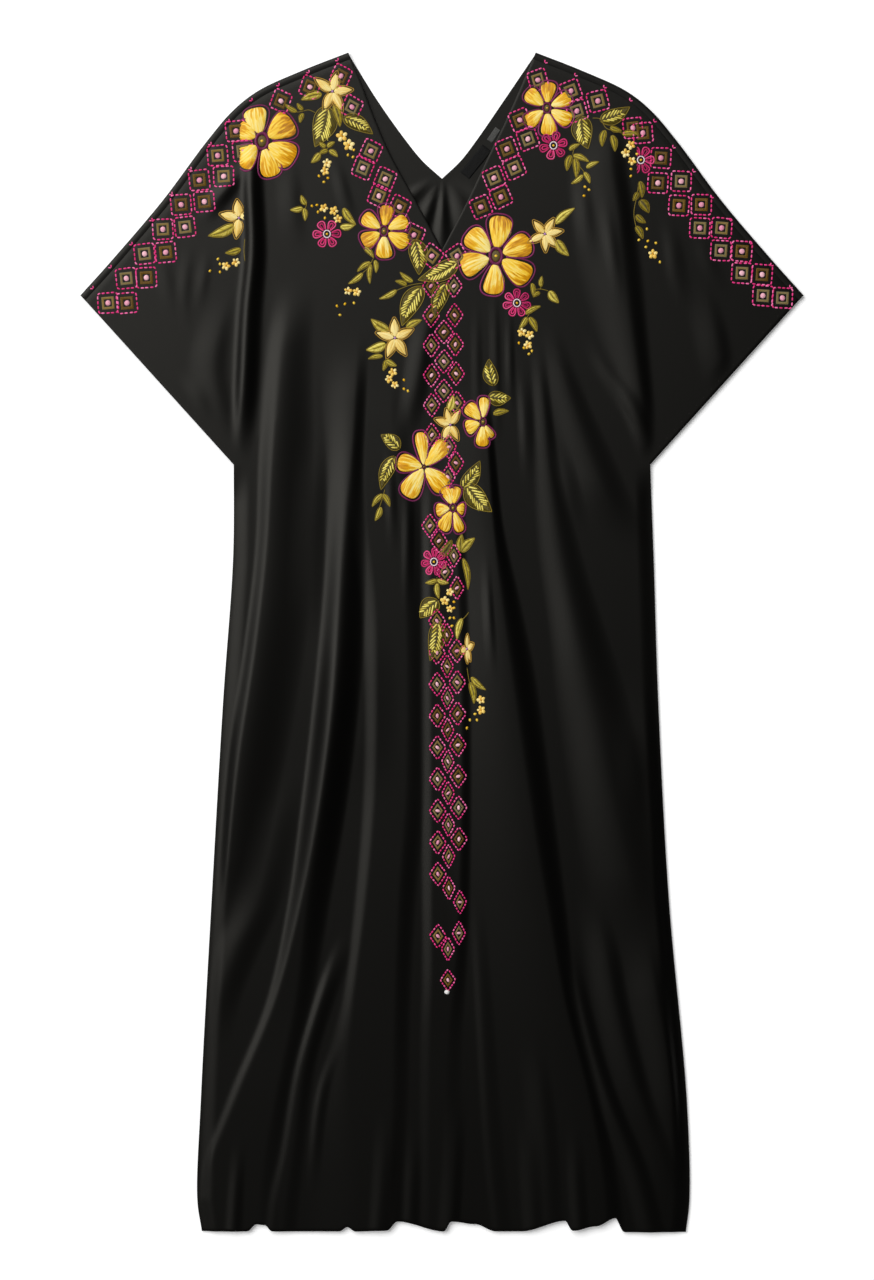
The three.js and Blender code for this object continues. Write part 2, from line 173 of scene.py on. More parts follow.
# Each fold's rows run down its crest: where the crest's left end is, how far it rises, and how wide its
# left slope, its level top and its right slope are.
FOLDS = {
    # x, y, rise, left, top, right
    "left armhole": [
        (-214, 600, 0, 12, 0, 14), (-214, 517, 5, 12, 0, 15), (-212, 438, 6, 12, 0, 16),
        (-218, 370, 6, 12, 0, 18), (-222, 290, 6, 12, 0, 18), (-227, 190, 0, 10, 0, 14),
    ],
    "left side": [
        (-164, 420, 0, 22, 0, 26), (-178, 327, 3.2, 20, 0, 34), (-188, 215, 5, 18, 0, 46),
        (-195, 103, 4.8, 15, 0, 52), (-208, -9, 5.8, 15, 0, 56), (-225, -121, 6, 15, 0, 54),
        (-236, -220, 4.2, 14, 0, 44), (-246, -330, 0, 12, 0, 30),
    ],
    "left front": [
        (-94, 360, 0, 44, 0, 14), (-98, 271, 2.6, 38, 0, 14), (-103, 190, 4.6, 28, 0, 16),
        (-110, 103, 6.6, 22, 0, 26), (-116, 10, 8.6, 22, 0, 30), (-124, -90, 11.5, 24, 0, 30),
        (-137, -190, 10.6, 23, 0, 30), (-156, -289, 6.6, 17, 4, 28), (-185, -400, 2.8, 12, 20, 22),
        (-230, -512, 1.8, 12, 42, 20), (-266, -610, 1.1, 10, 62, 22), (-270, -690, 0.8, 10, 66, 22),
    ],
    "left middle": [
        (-74, 330, 0, 18, 12, 20), (-84, 230, 1, 18, 28, 20), (-84, 150, 2, 20, 38, 24),
        (-73, 47, 2.5, 20, 31, 24), (-71, -65, 2.6, 17, 31, 24), (-74, -177, 2.6, 16, 32, 24),
        (-84, -289, 2.6, 15, 34, 22), (-98, -400, 2.1, 15, 44, 20), (-104, -490, 1.6, 34, 48, 20),
        (-94, -600, 1.5, 60, 36, 18), (-92, -690, 1.4, 60, 34, 18),
    ],
    "left drag": [
        (-168, -120, 0, 28, 0, 24), (-188, -215, 1.1, 30, 0, 28), (-208, -295, 1.8, 30, 0, 28),
        (-230, -345, 2.1, 28, 0, 28), (-246, -395, 1.5, 22, 0, 24), (-254, -470, 0, 16, 0, 16),
    ],
    "left crease": [
        (-104, -315, 0, 9, 0, 20), (-118, -350, 1.6, 10, 0, 18), (-138, -410, 2, 10, 0, 16),
        (-158, -480, 1.7, 10, 2, 14), (-172, -568, 1.2, 11, 4, 16), (-184, -624, 1.2, 12, 8, 18),
        (-190, -690, 1, 12, 8, 18),
    ],
    "centre band": [
        (-12, 230, 0, 12, 26, 12), (-12, 130, 1.6, 13, 27, 12), (-11, -65, 2.4, 14, 32, 12),
        (-10, -289, 2.4, 14, 28, 14), (-10, -380, 1.8, 14, 22, 16), (-12, -440, 1, 14, 18, 18),
        (-13, -568, 0.7, 14, 16, 20), (-13, -690, 0.5, 14, 16, 20),
    ],
    "right front": [
        (44, 310, 0, 50, 0, 8), (51, 215, 2.4, 60, 0, 9), (57, 130, 3.6, 60, 0, 12),
        (66, 47, 5.4, 60, 0, 22), (77, -35, 6.4, 80, 0, 28), (92, -140, 6.6, 100, 0, 28),
        (106, -233, 6.2, 110, 0, 26), (118, -300, 5.4, 116, 0, 22), (136, -400, 4.4, 120, 0, 16),
        (164, -512, 3.4, 120, 0, 15), (180, -610, 3, 120, 0, 20), (184, -690, 2.6, 120, 0, 24),
    ],
    "right side": [
        (104, 365, 0, 10, 0, 9), (113, 271, 1.1, 13, 0, 10), (119, 200, 1.6, 18, 0, 13),
        (132, 103, 2.6, 26, 0, 24), (150, 15, 4.2, 32, 0, 34), (168, -65, 4.4, 42, 0, 42),
        (184, -150, 4.4, 46, 0, 42), (204, -245, 3, 50, 0, 38), (228, -350, 0, 50, 0, 30),
    ],
    "right crease": [
        (134, -310, 0, 11, 0, 14), (154, -400, 1.6, 12, 0, 12), (172, -470, 2.2, 13, 0, 13),
        (190, -525, 2.6, 15, 0, 15), (216, -590, 2, 18, 0, 17), (240, -690, 1.6, 18, 0, 18),
    ],
    "right ridge": [
        (162, -270, 0, 22, 0, 16), (182, -345, 2, 26, 0, 18), (192, -400, 2.6, 26, 0, 18),
        (214, -490, 2.4, 26, 0, 18), (242, -568, 1.8, 22, 0, 16), (262, -650, 0, 18, 0, 14),
    ],
    "right hem": [
        (222, -310, 0, 34, 0, 16), (240, -400, 2.8, 38, 0, 16), (254, -480, 3.4, 32, 0, 14),
        (262, -560, 2, 24, 0, 12), (266, -640, 0, 14, 0, 10),
    ],
    "right chest": [
        (116, 375, 0, 16, 0, 12), (130, 315, 1.3, 22, 0, 16), (146, 262, 2.2, 28, 0, 22),
        (164, 210, 2.8, 34, 0, 28), (186, 155, 2.8, 40, 0, 30), (222, 95, 0, 44, 0, 24),
    ],
    "right underarm": [
        (160, 355, 0, 14, 0, 12), (184, 305, 1.8, 16, 0, 14), (206, 272, 2.4, 16, 0, 16),
        (222, 240, 2.4, 14, 0, 12), (232, 190, 0, 10, 0, 8),
    ],
    "right armhole": [
        (186, 620, 0, 36, 0, 22), (187, 550, 2.2, 46, 0, 20), (196, 480, 3.4, 54, 0, 20),
        (203, 410, 3.6, 52, 0, 22), (213, 340, 3.6, 40, 0, 18), (223, 270, 2.8, 26, 0, 14),
        (233, 190, 0, 12, 0, 8),
    ],
    "left sleeve": [
        (-234, 410, 0, 20, 0, 12), (-250, 350, 1.2, 28, 0, 16), (-256, 304, 1.5, 30, 0, 18),
        (-248, 262, 1.5, 24, 0, 16), (-236, 205, 0, 14, 0, 10),
    ],
    "right sleeve": [
        (286, 420, 0, 24, 0, 12), (304, 350, 1.4, 28, 0, 16), (312, 305, 1.4, 26, 0, 16),
        (320, 255, 0, 18, 0, 12),
    ],
}
# The small creases between them, in the same way
CREASES = {
    # x, y, rise, left, top, right
    "chest, left of the squares": [
        (-10, 410, 0, 16, 0, 14), (-20, 340, 1.6, 20, 0, 14), (-32, 270, 1.4, 18, 0, 16),
        (-50, 200, 0, 14, 0, 14),
    ],
    "first gather": [(39, 400, 0, 7, 0, 7), (39, 330, 0.4, 8, 0, 7), (41, 200, 0, 8, 0, 8)],
    "second gather": [(58, 420, 0, 8, 0, 6), (60, 340, 0.5, 9, 0, 6), (62, 190, 0, 8, 0, 8)],
    "third gather": [(75, 400, 0, 6, 0, 6), (76, 320, 0.6, 7, 0, 6), (78, 230, 0, 7, 0, 7)],
    "under the small flower": [(88, 330, 0, 8, 0, 10), (92, 260, 1, 9, 0, 12), (98, 150, 0, 10, 0, 14)],
    "left of the waist": [(-62, 235, 0, 7, 0, 7), (-58, 180, 0.8, 8, 0, 8), (-54, 80, 0, 8, 0, 8)],
    "beside the waist": [(-40, 210, 0, 7, 0, 8), (-38, 140, 0.8, 8, 0, 8), (-40, 10, 0, 8, 0, 8)],
    "right of the waist": [(48, 120, 0, 8, 0, 6), (53, 30, 0.9, 9, 0, 6), (58, -60, 0, 10, 0, 8)],
    "left chest": [(-172, 560, 0, 18, 0, 12), (-168, 500, 0.9, 20, 0, 14), (-160, 420, 0, 22, 0, 16)],
    "left neck": [(-126, 560, 0, 10, 0, 10), (-112, 510, 0.8, 12, 0, 10), (-96, 450, 0, 12, 0, 10)],
    "right neck": [(150, 560, 0, 14, 0, 10), (160, 480, 1, 16, 0, 12), (170, 400, 0, 16, 0, 14)],
    "right armhole, second": [(178, 520, 0, 10, 0, 9), (190, 440, 0.8, 11, 0, 9), (202, 360, 0, 10, 0, 9)],
    "right chest, low": [(120, 250, 0, 12, 0, 12), (138, 190, 1, 14, 0, 14), (156, 110, 0, 16, 0, 16)],
    "left body": [(-140, 260, 0, 24, 0, 16), (-146, 130, 1, 26, 0, 18), (-152, -20, 0, 26, 0, 20)],
    "left crease, second": [(-108, -430, 0, 8, 0, 9), (-134, -500, 1, 8, 0, 10), (-148, -640, 0, 8, 0, 10)],
    "right of the strip": [
        (36, -260, 0, 8, 0, 10), (44, -400, 0.7, 9, 0, 14), (54, -560, 0.6, 10, 0, 16),
        (66, -680, 0.5, 10, 0, 16),
    ],
    "hem, left": [(-226, -540, 0, 10, 0, 10), (-230, -600, 1, 10, 0, 10), (-236, -690, 1.4, 10, 0, 12)],
    "hem, left of the middle": [
        (-62, -500, 0, 14, 0, 16), (-66, -590, 0.9, 14, 0, 16), (-74, -690, 1.3, 12, 0, 16),
    ],
    "hem, middle": [(-32, -520, 0, 10, 0, 12), (-34, -600, 0.8, 12, 0, 12), (-38, -690, 1.2, 12, 0, 12)],
    "hem, right of the middle": [
        (18, -480, 0, 14, 0, 12), (14, -580, 0.8, 16, 0, 12), (8, -690, 1.4, 18, 0, 10),
    ],
    "hem, right": [(92, -500, 0, 12, 0, 14), (98, -590, 0.8, 14, 0, 14), (104, -690, 1.2, 14, 0, 12)],
    "hem, far right": [(146, -520, 0, 10, 0, 12), (150, -600, 0.9, 12, 0, 12), (156, -690, 1.2, 12, 0, 12)],
    "right front, low": [(96, -420, 0, 20, 0, 14), (112, -520, 1, 22, 0, 16), (122, -690, 0.7, 22, 0, 18)],
    "right side, low": [(196, -60, 0, 20, 0, 16), (212, -130, 1, 22, 0, 18), (222, -230, 0, 20, 0, 16)],
    "sleeve fold at the armhole": [
        (-220, 545, 0, 18, 0, 12), (-238, 512, 2.4, 20, 0, 15), (-254, 488, 1.8, 18, 0, 15),
        (-268, 460, 0, 14, 0, 12),
    ],
    "left sleeve, first": [
        (-324, 455, 0, 12, 0, 10), (-313, 425, 0.5, 14, 0, 11), (-304, 385, 0.4, 14, 0, 12),
        (-298, 350, 0, 14, 0, 12),
    ],
    "left sleeve, second": [
        (-280, 460, 0, 10, 0, 7), (-286, 415, 0.5, 12, 0, 8), (-288, 375, 0.4, 12, 0, 9),
        (-282, 335, 0, 12, 0, 10),
    ],
    "left sleeve, third": [(-262, 450, 0, 9, 0, 8), (-266, 410, 0.5, 10, 0, 8), (-274, 360, 0, 10, 0, 10)],
    "left cuff": [
        (-290, 310, 0, 12, 0, 10), (-278, 285, 0.8, 14, 0, 15), (-266, 258, 0.7, 12, 0, 12),
        (-256, 235, 0, 10, 0, 10),
    ],
    "right sleeve, upper": [
        (246, 490, 0, 10, 0, 12), (256, 450, 0.8, 12, 0, 14), (262, 410, 0.7, 12, 0, 16),
        (278, 355, 0, 12, 0, 14),
    ],
    "right body, broad": [
        (226, -20, 0, 80, 0, 18), (234, -140, 2.1, 90, 0, 18), (246, -300, 2.8, 96, 0, 18),
        (258, -480, 2.1, 90, 0, 14), (262, -600, 0, 80, 0, 12),
    ],
    "left hip, broad": [(-100, 60, 0, 60, 0, 40), (-92, -60, 1.5, 60, 0, 44), (-90, -200, 0, 60, 0, 40)],
    "right sleeve, middle": [
        (284, 470, 0, 12, 0, 12), (296, 430, 0.5, 14, 0, 14), (318, 380, 0, 16, 0, 14),
    ],
}
FOLD_END = 90
SEAM_DIP = 0.35
SEAM_EASE = 2.5
HELD_EDGES = {"shoulder": 34, "cuff": 22, "side": 16, "neck": 26}
SIDE_DROP = 18
UNDERARM_DROP = 45
SIDES = {"left": -1, "right": 1}
TINY_SHARE = 0.0005


def smooth(value):
    """0 below 0, 1 above 1, and an even curve between"""
    value = np.clip(value, 0.0, 1.0)
    return value * value * (3 - 2 * value)


def edge_points(rows, side):
    """An edge's points on one side of the garment"""
    return np.array([(SIDES[side] * getattr(row, side), row.y) for row in rows], float)


def smooth_line(points, steps=30):
    """A round curve through the points, as a close row of points"""
    before = 2 * points[0] - points[1]
    after = 2 * points[-1] - points[-2]
    knots = np.vstack([before, points, after])
    line = [points[:1]]
    for p0, p1, p2, p3 in zip(knots, knots[1:], knots[2:], knots[3:]):
        t1 = math.dist(p0, p1) ** 0.5
        t2 = t1 + math.dist(p1, p2) ** 0.5
        t3 = t2 + math.dist(p2, p3) ** 0.5
        t = np.linspace(t1, t2, steps + 1)[1:, None]
        a1 = p0 + (p1 - p0) * t / t1
        a2 = p1 + (p2 - p1) * (t - t1) / (t2 - t1)
        a3 = p2 + (p3 - p2) * (t - t2) / (t3 - t2)
        b1 = a1 + (a2 - a1) * t / t2
        b2 = a2 + (a3 - a2) * (t - t1) / (t3 - t1)
        line.append(b1 + (b2 - b1) * (t - t1) / (t2 - t1))
    return np.vstack(line)


def along(line, shares):
    """Points at shares of the line's length"""
    steps = np.hypot(*np.diff(line, axis=0).T)
    length = np.concatenate([[0.0], np.cumsum(steps)])
    at = np.asarray(shares, float) * length[-1]
    return np.stack([np.interp(at, length, line[:, k]) for k in range(line.shape[1])], axis=-1)


def shoulder_line(side, inset, shares):
    """The shoulder and sleeve top, moved in from the outline by inset"""
    outline = smooth_line(edge_points(SHOULDER, side))
    after = along(outline, np.minimum(shares + TINY_SHARE, 1))
    step = after - along(outline, np.maximum(shares - TINY_SHARE, 0))
    step /= np.hypot(step[..., 0], step[..., 1])[..., None]
    inward = np.stack([step[..., 1], -step[..., 0]], axis=-1) * SIDES[side]
    return along(outline, shares) + inward * inset


def hem_lift(x, y):
    """How far the hem is drawn up, in soft scallops"""
    places, lifts = np.array(HEM_LIFTS, float).T
    step = np.clip(np.searchsorted(places, x, side="right") - 1, 0, len(places) - 2)
    share = smooth((x - places[step]) / (places[step + 1] - places[step]))
    lift = lifts[step] + (lifts[step + 1] - lifts[step]) * share
    return lift * smooth(1 - (y - HEM_Y) / HEM_SPREAD)


def column_shares(columns, crowding):
    """Columns are narrower towards the middle of the garment"""
    share = np.linspace(0, 1, columns + 1)
    return share * (crowding + (1 - crowding) * share)


def panel_plan(side, neck, rows, inset, hem_inset, shares):
    """One half of a panel in plan, in rows from the shoulder down and columns from the middle out"""
    top = shoulder_line(side, inset, shares)
    neck_line = smooth_line(np.vstack([top[:1], edge_points(neck, side)]))
    cuff_line = np.vstack([top[-1:], edge_points([UNDERARM], side)])
    hem_middle = (0.0, HEM_Y + hem_inset)
    middle_line = np.array([neck_line[-1], hem_middle])
    seam = [row._replace(y=max(row.y, HEM_Y + hem_inset)) for row in SIDE_SEAM]
    side_line = smooth_line(edge_points(seam, side))
    in_neck = np.arange(rows["neck"]) / rows["neck"]
    in_body = np.arange(rows["body"] + 1) / rows["body"]
    inner = np.vstack([along(neck_line, in_neck), along(middle_line, in_body)])
    outer = np.vstack([along(cuff_line, in_neck), along(side_line, in_body)])
    plan = inner[:, None] + (outer - inner)[:, None] * shares[None, :, None]
    chord = top[0] + (top[-1] - top[0]) * shares[:, None]
    down = np.arange(len(plan)) / (len(plan) - 1)
    curve = np.maximum(0, 1 - down / SHOULDER_SPREAD) ** 2
    plan += (top - chord)[None] * curve[:, None, None]
    plan[..., 1] += hem_lift(plan[..., 0], plan[..., 1])
    return plan


def distance_to(line, x, y):
    """From places in plan to a line of straight stretches"""
    nearest = np.full(np.shape(x), np.inf)
    for (ax, ay), (bx, by) in zip(line, line[1:]):
        dx, dy = bx - ax, by - ay
        share = np.clip(((x - ax) * dx + (y - ay) * dy) / (dx * dx + dy * dy), 0, 1)
        nearest = np.minimum(nearest, np.hypot(x - ax - share * dx, y - ay - share * dy))
    return nearest


def held_flat(x, y):
    """0 where an edge holds the cloth flat, up to 1 where it is free to fold"""
    free = np.ones(np.shape(x))
    for side in SIDES:
        lines = {
            "shoulder": edge_points(SHOULDER, side),
            "cuff": edge_points([SHOULDER[-1], UNDERARM], side),
            "side": edge_points(SIDE_SEAM, side),
            "neck": edge_points([SHOULDER[0], *FRONT_NECK], side),
        }
        for name, line in lines.items():
            free = np.minimum(free, smooth(distance_to(line, x, y) / HELD_EDGES[name]))
    return free


def fold_rise(rows, x, y):
    """How far a fold lifts the cloth"""
    crest_x, crest_y, *sizes = smooth_line(np.array(rows, float), steps=8).T
    start, end = crest_y[0], crest_y[-1]
    rise, left, top, right = (np.interp(-y, -crest_y, size) for size in sizes)
    fade = min(FOLD_END, (start - end) / 2)
    ends = smooth((start - y) / fade)
    if end > HEM_Y:
        ends = ends * smooth((y - end) / fade)
    offset = x - np.interp(-y, -crest_y, crest_x)
    slope = np.where(offset < 0, -offset / left, np.maximum(0, offset - top) / right)
    return rise * ends * smooth(1 - slope)


def side_reach(x, y):
    """How far out the side seam is at this height, on the side where x is"""
    left = edge_points(SIDE_SEAM, "left")[::-1]
    right = edge_points(SIDE_SEAM, "right")[::-1]
    return np.where(x < 0, -np.interp(y, left[:, 1], left[:, 0]), np.interp(y, right[:, 1], right[:, 0]))


def front_height(x, y):
    """The outer face of the front over the table"""
    at_seam = smooth(1 - (side_reach(x, y) - np.abs(x)) / SIDE_DROP)
    at_seam = at_seam * smooth((UNDERARM.y - y) / UNDERARM_DROP)
    folds = sum(fold_rise(rows, x, y) for rows in [*FOLDS.values(), *CREASES.values()])
    level = FRONT_Z - (FRONT_Z - SIDE_Z) * at_seam
    for side in SIDES:
        from_seam = np.abs(distance_to(edge_points(SHOULDER, side), x, y) - SHOULDER_WRAP)
        level = level - SEAM_DIP * smooth(1 - from_seam / SEAM_EASE)
    return level + CLOTH / 2 + folds * held_flat(x, y)


EDGE_RADIUS = 0.45
EDGE_ALLOWANCE = 6.0
WELD = 0.001


def turned_edge(edge, height_at, outside):
    """The cloth's edge, rolled under and laid back: rows of points that start at the edge itself. Outside
    is 1 where the open side is on the left as one goes along the edge, and -1 where it is on the right."""
    step = np.gradient(edge, axis=0)
    step /= np.hypot(step[:, 0], step[:, 1])[:, None]
    outward = np.stack([-step[:, 1], step[:, 0]], axis=-1) * outside
    level = height_at(edge[:, 0], edge[:, 1])
    rows = []
    for angle in np.linspace(0, math.pi, 5):
        plan = edge + outward * EDGE_RADIUS * math.sin(angle)
        rows.append(np.column_stack([plan, level - EDGE_RADIUS * (1 - math.cos(angle))]))
    under = edge - outward * EDGE_ALLOWANCE
    rows.append(np.column_stack([under, height_at(under[:, 0], under[:, 1]) - 2 * EDGE_RADIUS]))
    return np.array(rows)


def grid_faces(rows, columns, first, flip):
    """Quads between neighbouring rows of points, numbered from first"""
    corner = first + np.arange(rows * columns).reshape(rows, columns)
    quads = np.stack([corner[:-1, :-1], corner[1:, :-1], corner[1:, 1:], corner[:-1, 1:]], axis=-1)
    quads = quads.reshape(-1, 4)
    return quads[:, ::-1] if flip else quads


def new_piece(name, points, faces, material):
    """A smooth mesh of points in millimetres, which rides on the garment"""
    mesh = bpy.data.meshes.new(name)
    mesh.from_pydata((points * MM).tolist(), [], faces.tolist())
    mesh.polygons.foreach_set("use_smooth", [True] * len(mesh.polygons))
    mesh.materials.append(material)
    piece = bpy.data.objects.new(name, mesh)
    bpy.context.scene.collection.objects.link(piece)
    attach(piece, "root")
    return piece


def reshape(mesh, change):
    """Make one change to a mesh's points"""
    shaped = bmesh.new()
    shaped.from_mesh(mesh)
    change(shaped)
    shaped.to_mesh(mesh)
    shaped.free()


def sewn_piece(name, grids, material):
    """A piece of cloth from grids of points, each with its turn, joined where they meet"""
    points = []
    faces = []
    count = 0
    for grid, flip in grids:
        faces.append(grid_faces(grid.shape[0], grid.shape[1], count, flip))
        points.append(grid.reshape(-1, 3))
        count += len(points[-1])
    piece = new_piece(name, np.vstack(points), np.vstack(faces), material)
    reshape(piece.data, lambda shaped: bmesh.ops.remove_doubles(shaped, verts=shaped.verts, dist=WELD * MM))
    return piece


def panel_grid(plan, height_at):
    """A panel's points, with their heights over the table"""
    return np.dstack([plan, height_at(plan[..., 0], plan[..., 1])])


SILK_TINT = (1.0, 0.97, 0.88, 1.0)
SILK_ROUGHNESS = 0.4


def black_silk(name, colour):
    """Silk satin: a close weave of fine threads with a soft lengthwise lustre"""
    material, tree, shader = new_material(
        name, SILK_ROUGHNESS, Specular_IOR_Level=0.2, Specular_Tint=SILK_TINT)
    place = new_node(tree, "TexCoord")
    lengthwise = new_node(tree, "Mapping", Vector=place.outputs["Object"], Scale=(1.0, 0.06, 1.0))
    slubs = new_node(tree, "TexNoise", Vector=lengthwise.outputs["Vector"], Scale=900, Detail=3)
    darker = [0.75 * part for part in colour]
    lighter = [1.25 * part for part in colour]
    raised = new_node(tree, "Bump", Height=slubs.outputs["Fac"], Strength=0.25, Distance=0.00008)
    fill(tree, shader, Base_Color=colour_between(tree, slubs.outputs["Fac"], darker, lighter),
         Normal=raised.outputs["Normal"])
    return material


outer_silk = black_silk("black_silk_satin", (0.0006, 0.00055, 0.0005))

front_grids = []
shares = column_shares(FRONT_COLUMNS, CENTRE_CROWDING)
for side in SIDES:
    plan = panel_plan(side, FRONT_NECK, FRONT_ROWS, SHOULDER_WRAP + SEAM_GAP, 0, shares)
    flip = side == "left"
    front_grids.append((panel_grid(plan, front_height), flip))
    hem = turned_edge(plan[-1], front_height, -SIDES[side])
    neck = turned_edge(plan[:FRONT_ROWS["neck"] + 1, 0], front_height, -SIDES[side])
    cuff = turned_edge(plan[:FRONT_ROWS["neck"] + 1, -1], front_height, SIDES[side])
    front_grids.append((hem, flip))
    front_grids.append((neck.transpose(1, 0, 2)[:, ::-1], flip))
    front_grids.append((cuff.transpose(1, 0, 2), flip))

front = sewn_piece("front_silk", front_grids, outer_silk)
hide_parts("front_panel")

# The back of the caftan: one piece of the same silk. It turns over the shoulders and sleeve tops to
# seams that lie on the front, and shows its inside in the neck, where it falls in soft gathers.
BACK_NECK = [Edge(606, 72, 69), Edge(561, 40, 38), Edge(539, 22, 21), Edge(519, 0, 0)]
BACK_HEM_INSET = 2
BACK_SKIN = 0.1
BACK_COLUMNS = 84
BACK_ROWS = {"neck": 44, "body": 150}
BACK_CROWDING = 0.5
TURN_INSET = 2.5
TURN_STEPS = 8
TURN_RADIUS = (FRONT_Z + CLOTH / 2 - BACK_SKIN) / 2
# The gathers spread like rays from a point over the neck's lowest point
GATHERS = {"x": 2, "y": 528, "rise": 1.8, "pitch": 26, "starts": 10, "full": 52, "fades": 96, "ends": 140}
# How far round from straight down they reach, in degrees, and how unevenly they are spread
GATHER_REACH = (48, 66)
GATHER_DRIFT = {"by": 4, "waves": 5, "from": 40}
# Low creases of the side that lies on the table, in the same way as the front's
BACK_CREASES = {
    "left": [
        (-150, 380, 0, 20, 0, 14), (-158, 200, 0.8, 22, 0, 16), (-170, -40, 0.8, 24, 0, 18),
        (-176, -260, 0, 22, 0, 16),
    ],
    "middle": [(-20, 120, 0, 16, 0, 16), (-28, -80, 0.7, 18, 0, 18), (-40, -330, 0, 20, 0, 20)],
    "right": [
        (90, 330, 0, 14, 0, 18), (104, 120, 0.8, 16, 0, 20), (124, -160, 0.8, 18, 0, 22),
        (140, -420, 0, 18, 0, 20),
    ],
    "hem, left": [(-90, -300, 0, 12, 0, 18), (-104, -450, 0.6, 14, 0, 18), (-118, -600, 0, 16, 0, 18)],
    "hem, right": [(196, -240, 0, 16, 0, 14), (206, -400, 0.6, 18, 0, 14), (210, -560, 0, 18, 0, 14)],
}


def back_height(x, y):
    """The inner face of the back over the table, with its gathers below the neck"""
    down = GATHERS["y"] - y
    across = x - GATHERS["x"]
    out = np.hypot(across, down)
    turn = np.degrees(np.arctan2(across, down))
    inner, outer = GATHER_REACH
    fade = smooth((out - GATHERS["starts"]) / (GATHERS["full"] - GATHERS["starts"]))
    fade = fade * smooth((GATHERS["ends"] - out) / (GATHERS["ends"] - GATHERS["fades"]))
    fade = fade * smooth((outer - np.abs(turn)) / (outer - inner))
    drift = np.sin(np.radians(GATHER_DRIFT["waves"] * turn + GATHER_DRIFT["from"]))
    uneven = turn + GATHER_DRIFT["by"] * drift
    wave = 0.5 + 0.5 * np.cos(2 * math.pi * uneven / GATHERS["pitch"])
    creases = sum(fold_rise(rows, x, y) for rows in BACK_CREASES.values())
    return BACK_SKIN + GATHERS["rise"] * wave * fade + creases


inner_silk = black_silk("black_silk_inside", (0.0008, 0.00075, 0.0007))

back_grids = []
shares = column_shares(BACK_COLUMNS, BACK_CROWDING)
for side in SIDES:
    flip = side == "left"
    plan = panel_plan(side, BACK_NECK, BACK_ROWS, TURN_INSET, BACK_HEM_INSET, shares)
    back_grids.append((panel_grid(plan, back_height), flip))
    turn = []
    for inset, drop in ((SHOULDER_WRAP, SEAM_DIP), (SHOULDER_WRAP - SEAM_EASE, 0)):
        edge = shoulder_line(side, inset, shares)
        turn.append(np.column_stack([edge, np.full(len(edge), BACK_SKIN + 2 * TURN_RADIUS - drop)]))
    for angle in np.linspace(math.pi, 0, TURN_STEPS + 1):
        edge = shoulder_line(side, TURN_INSET - TURN_RADIUS * math.sin(angle), shares)
        level = np.full(len(edge), BACK_SKIN + TURN_RADIUS * (1 - math.cos(angle)))
        turn.append(np.column_stack([edge, level]))
    back_grids.append((np.array(turn), flip))

back = sewn_piece("back_silk", back_grids, inner_silk)
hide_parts("back_panel")

# Narrow hems at the cuffs, in the same silk, with their edges folded in. They are sewn blind by hand, and
# each stitch takes up a speck of the front.
PICK_INSET = 6.0
PICK_PITCH = 12.3
PICK_LENGTH = 1.3
PICK_WIDTH = 0.7
PICK_RISE = 0.25
THREAD_SINK = -0.25
# A thread's round top, from side to side, and how thin it is at its ends
CORD_ACROSS = np.array([-1.0, -0.66, 0.0, 0.66, 1.0])
CORD_LIFT = np.array([0.0, 0.72, 1.0, 0.72, 0.0])
CORD_END = 0.08
CORD_TWIST = 0.3


def cloth_top(x, y):
    """The face that shows from above, with the back's turn over the shoulder"""
    level = front_height(x, y)
    edge_gap = np.full(np.shape(x), np.inf)
    for side in SIDES:
        edge_gap = np.minimum(edge_gap, distance_to(edge_points(SHOULDER, side), x, y))
    over = np.clip((TURN_INSET - edge_gap) / TURN_RADIUS, 0, 1)
    rolled = BACK_SKIN + TURN_RADIUS * (1 + np.sqrt(1 - over ** 2))
    return np.where(over > 0, rolled, level)


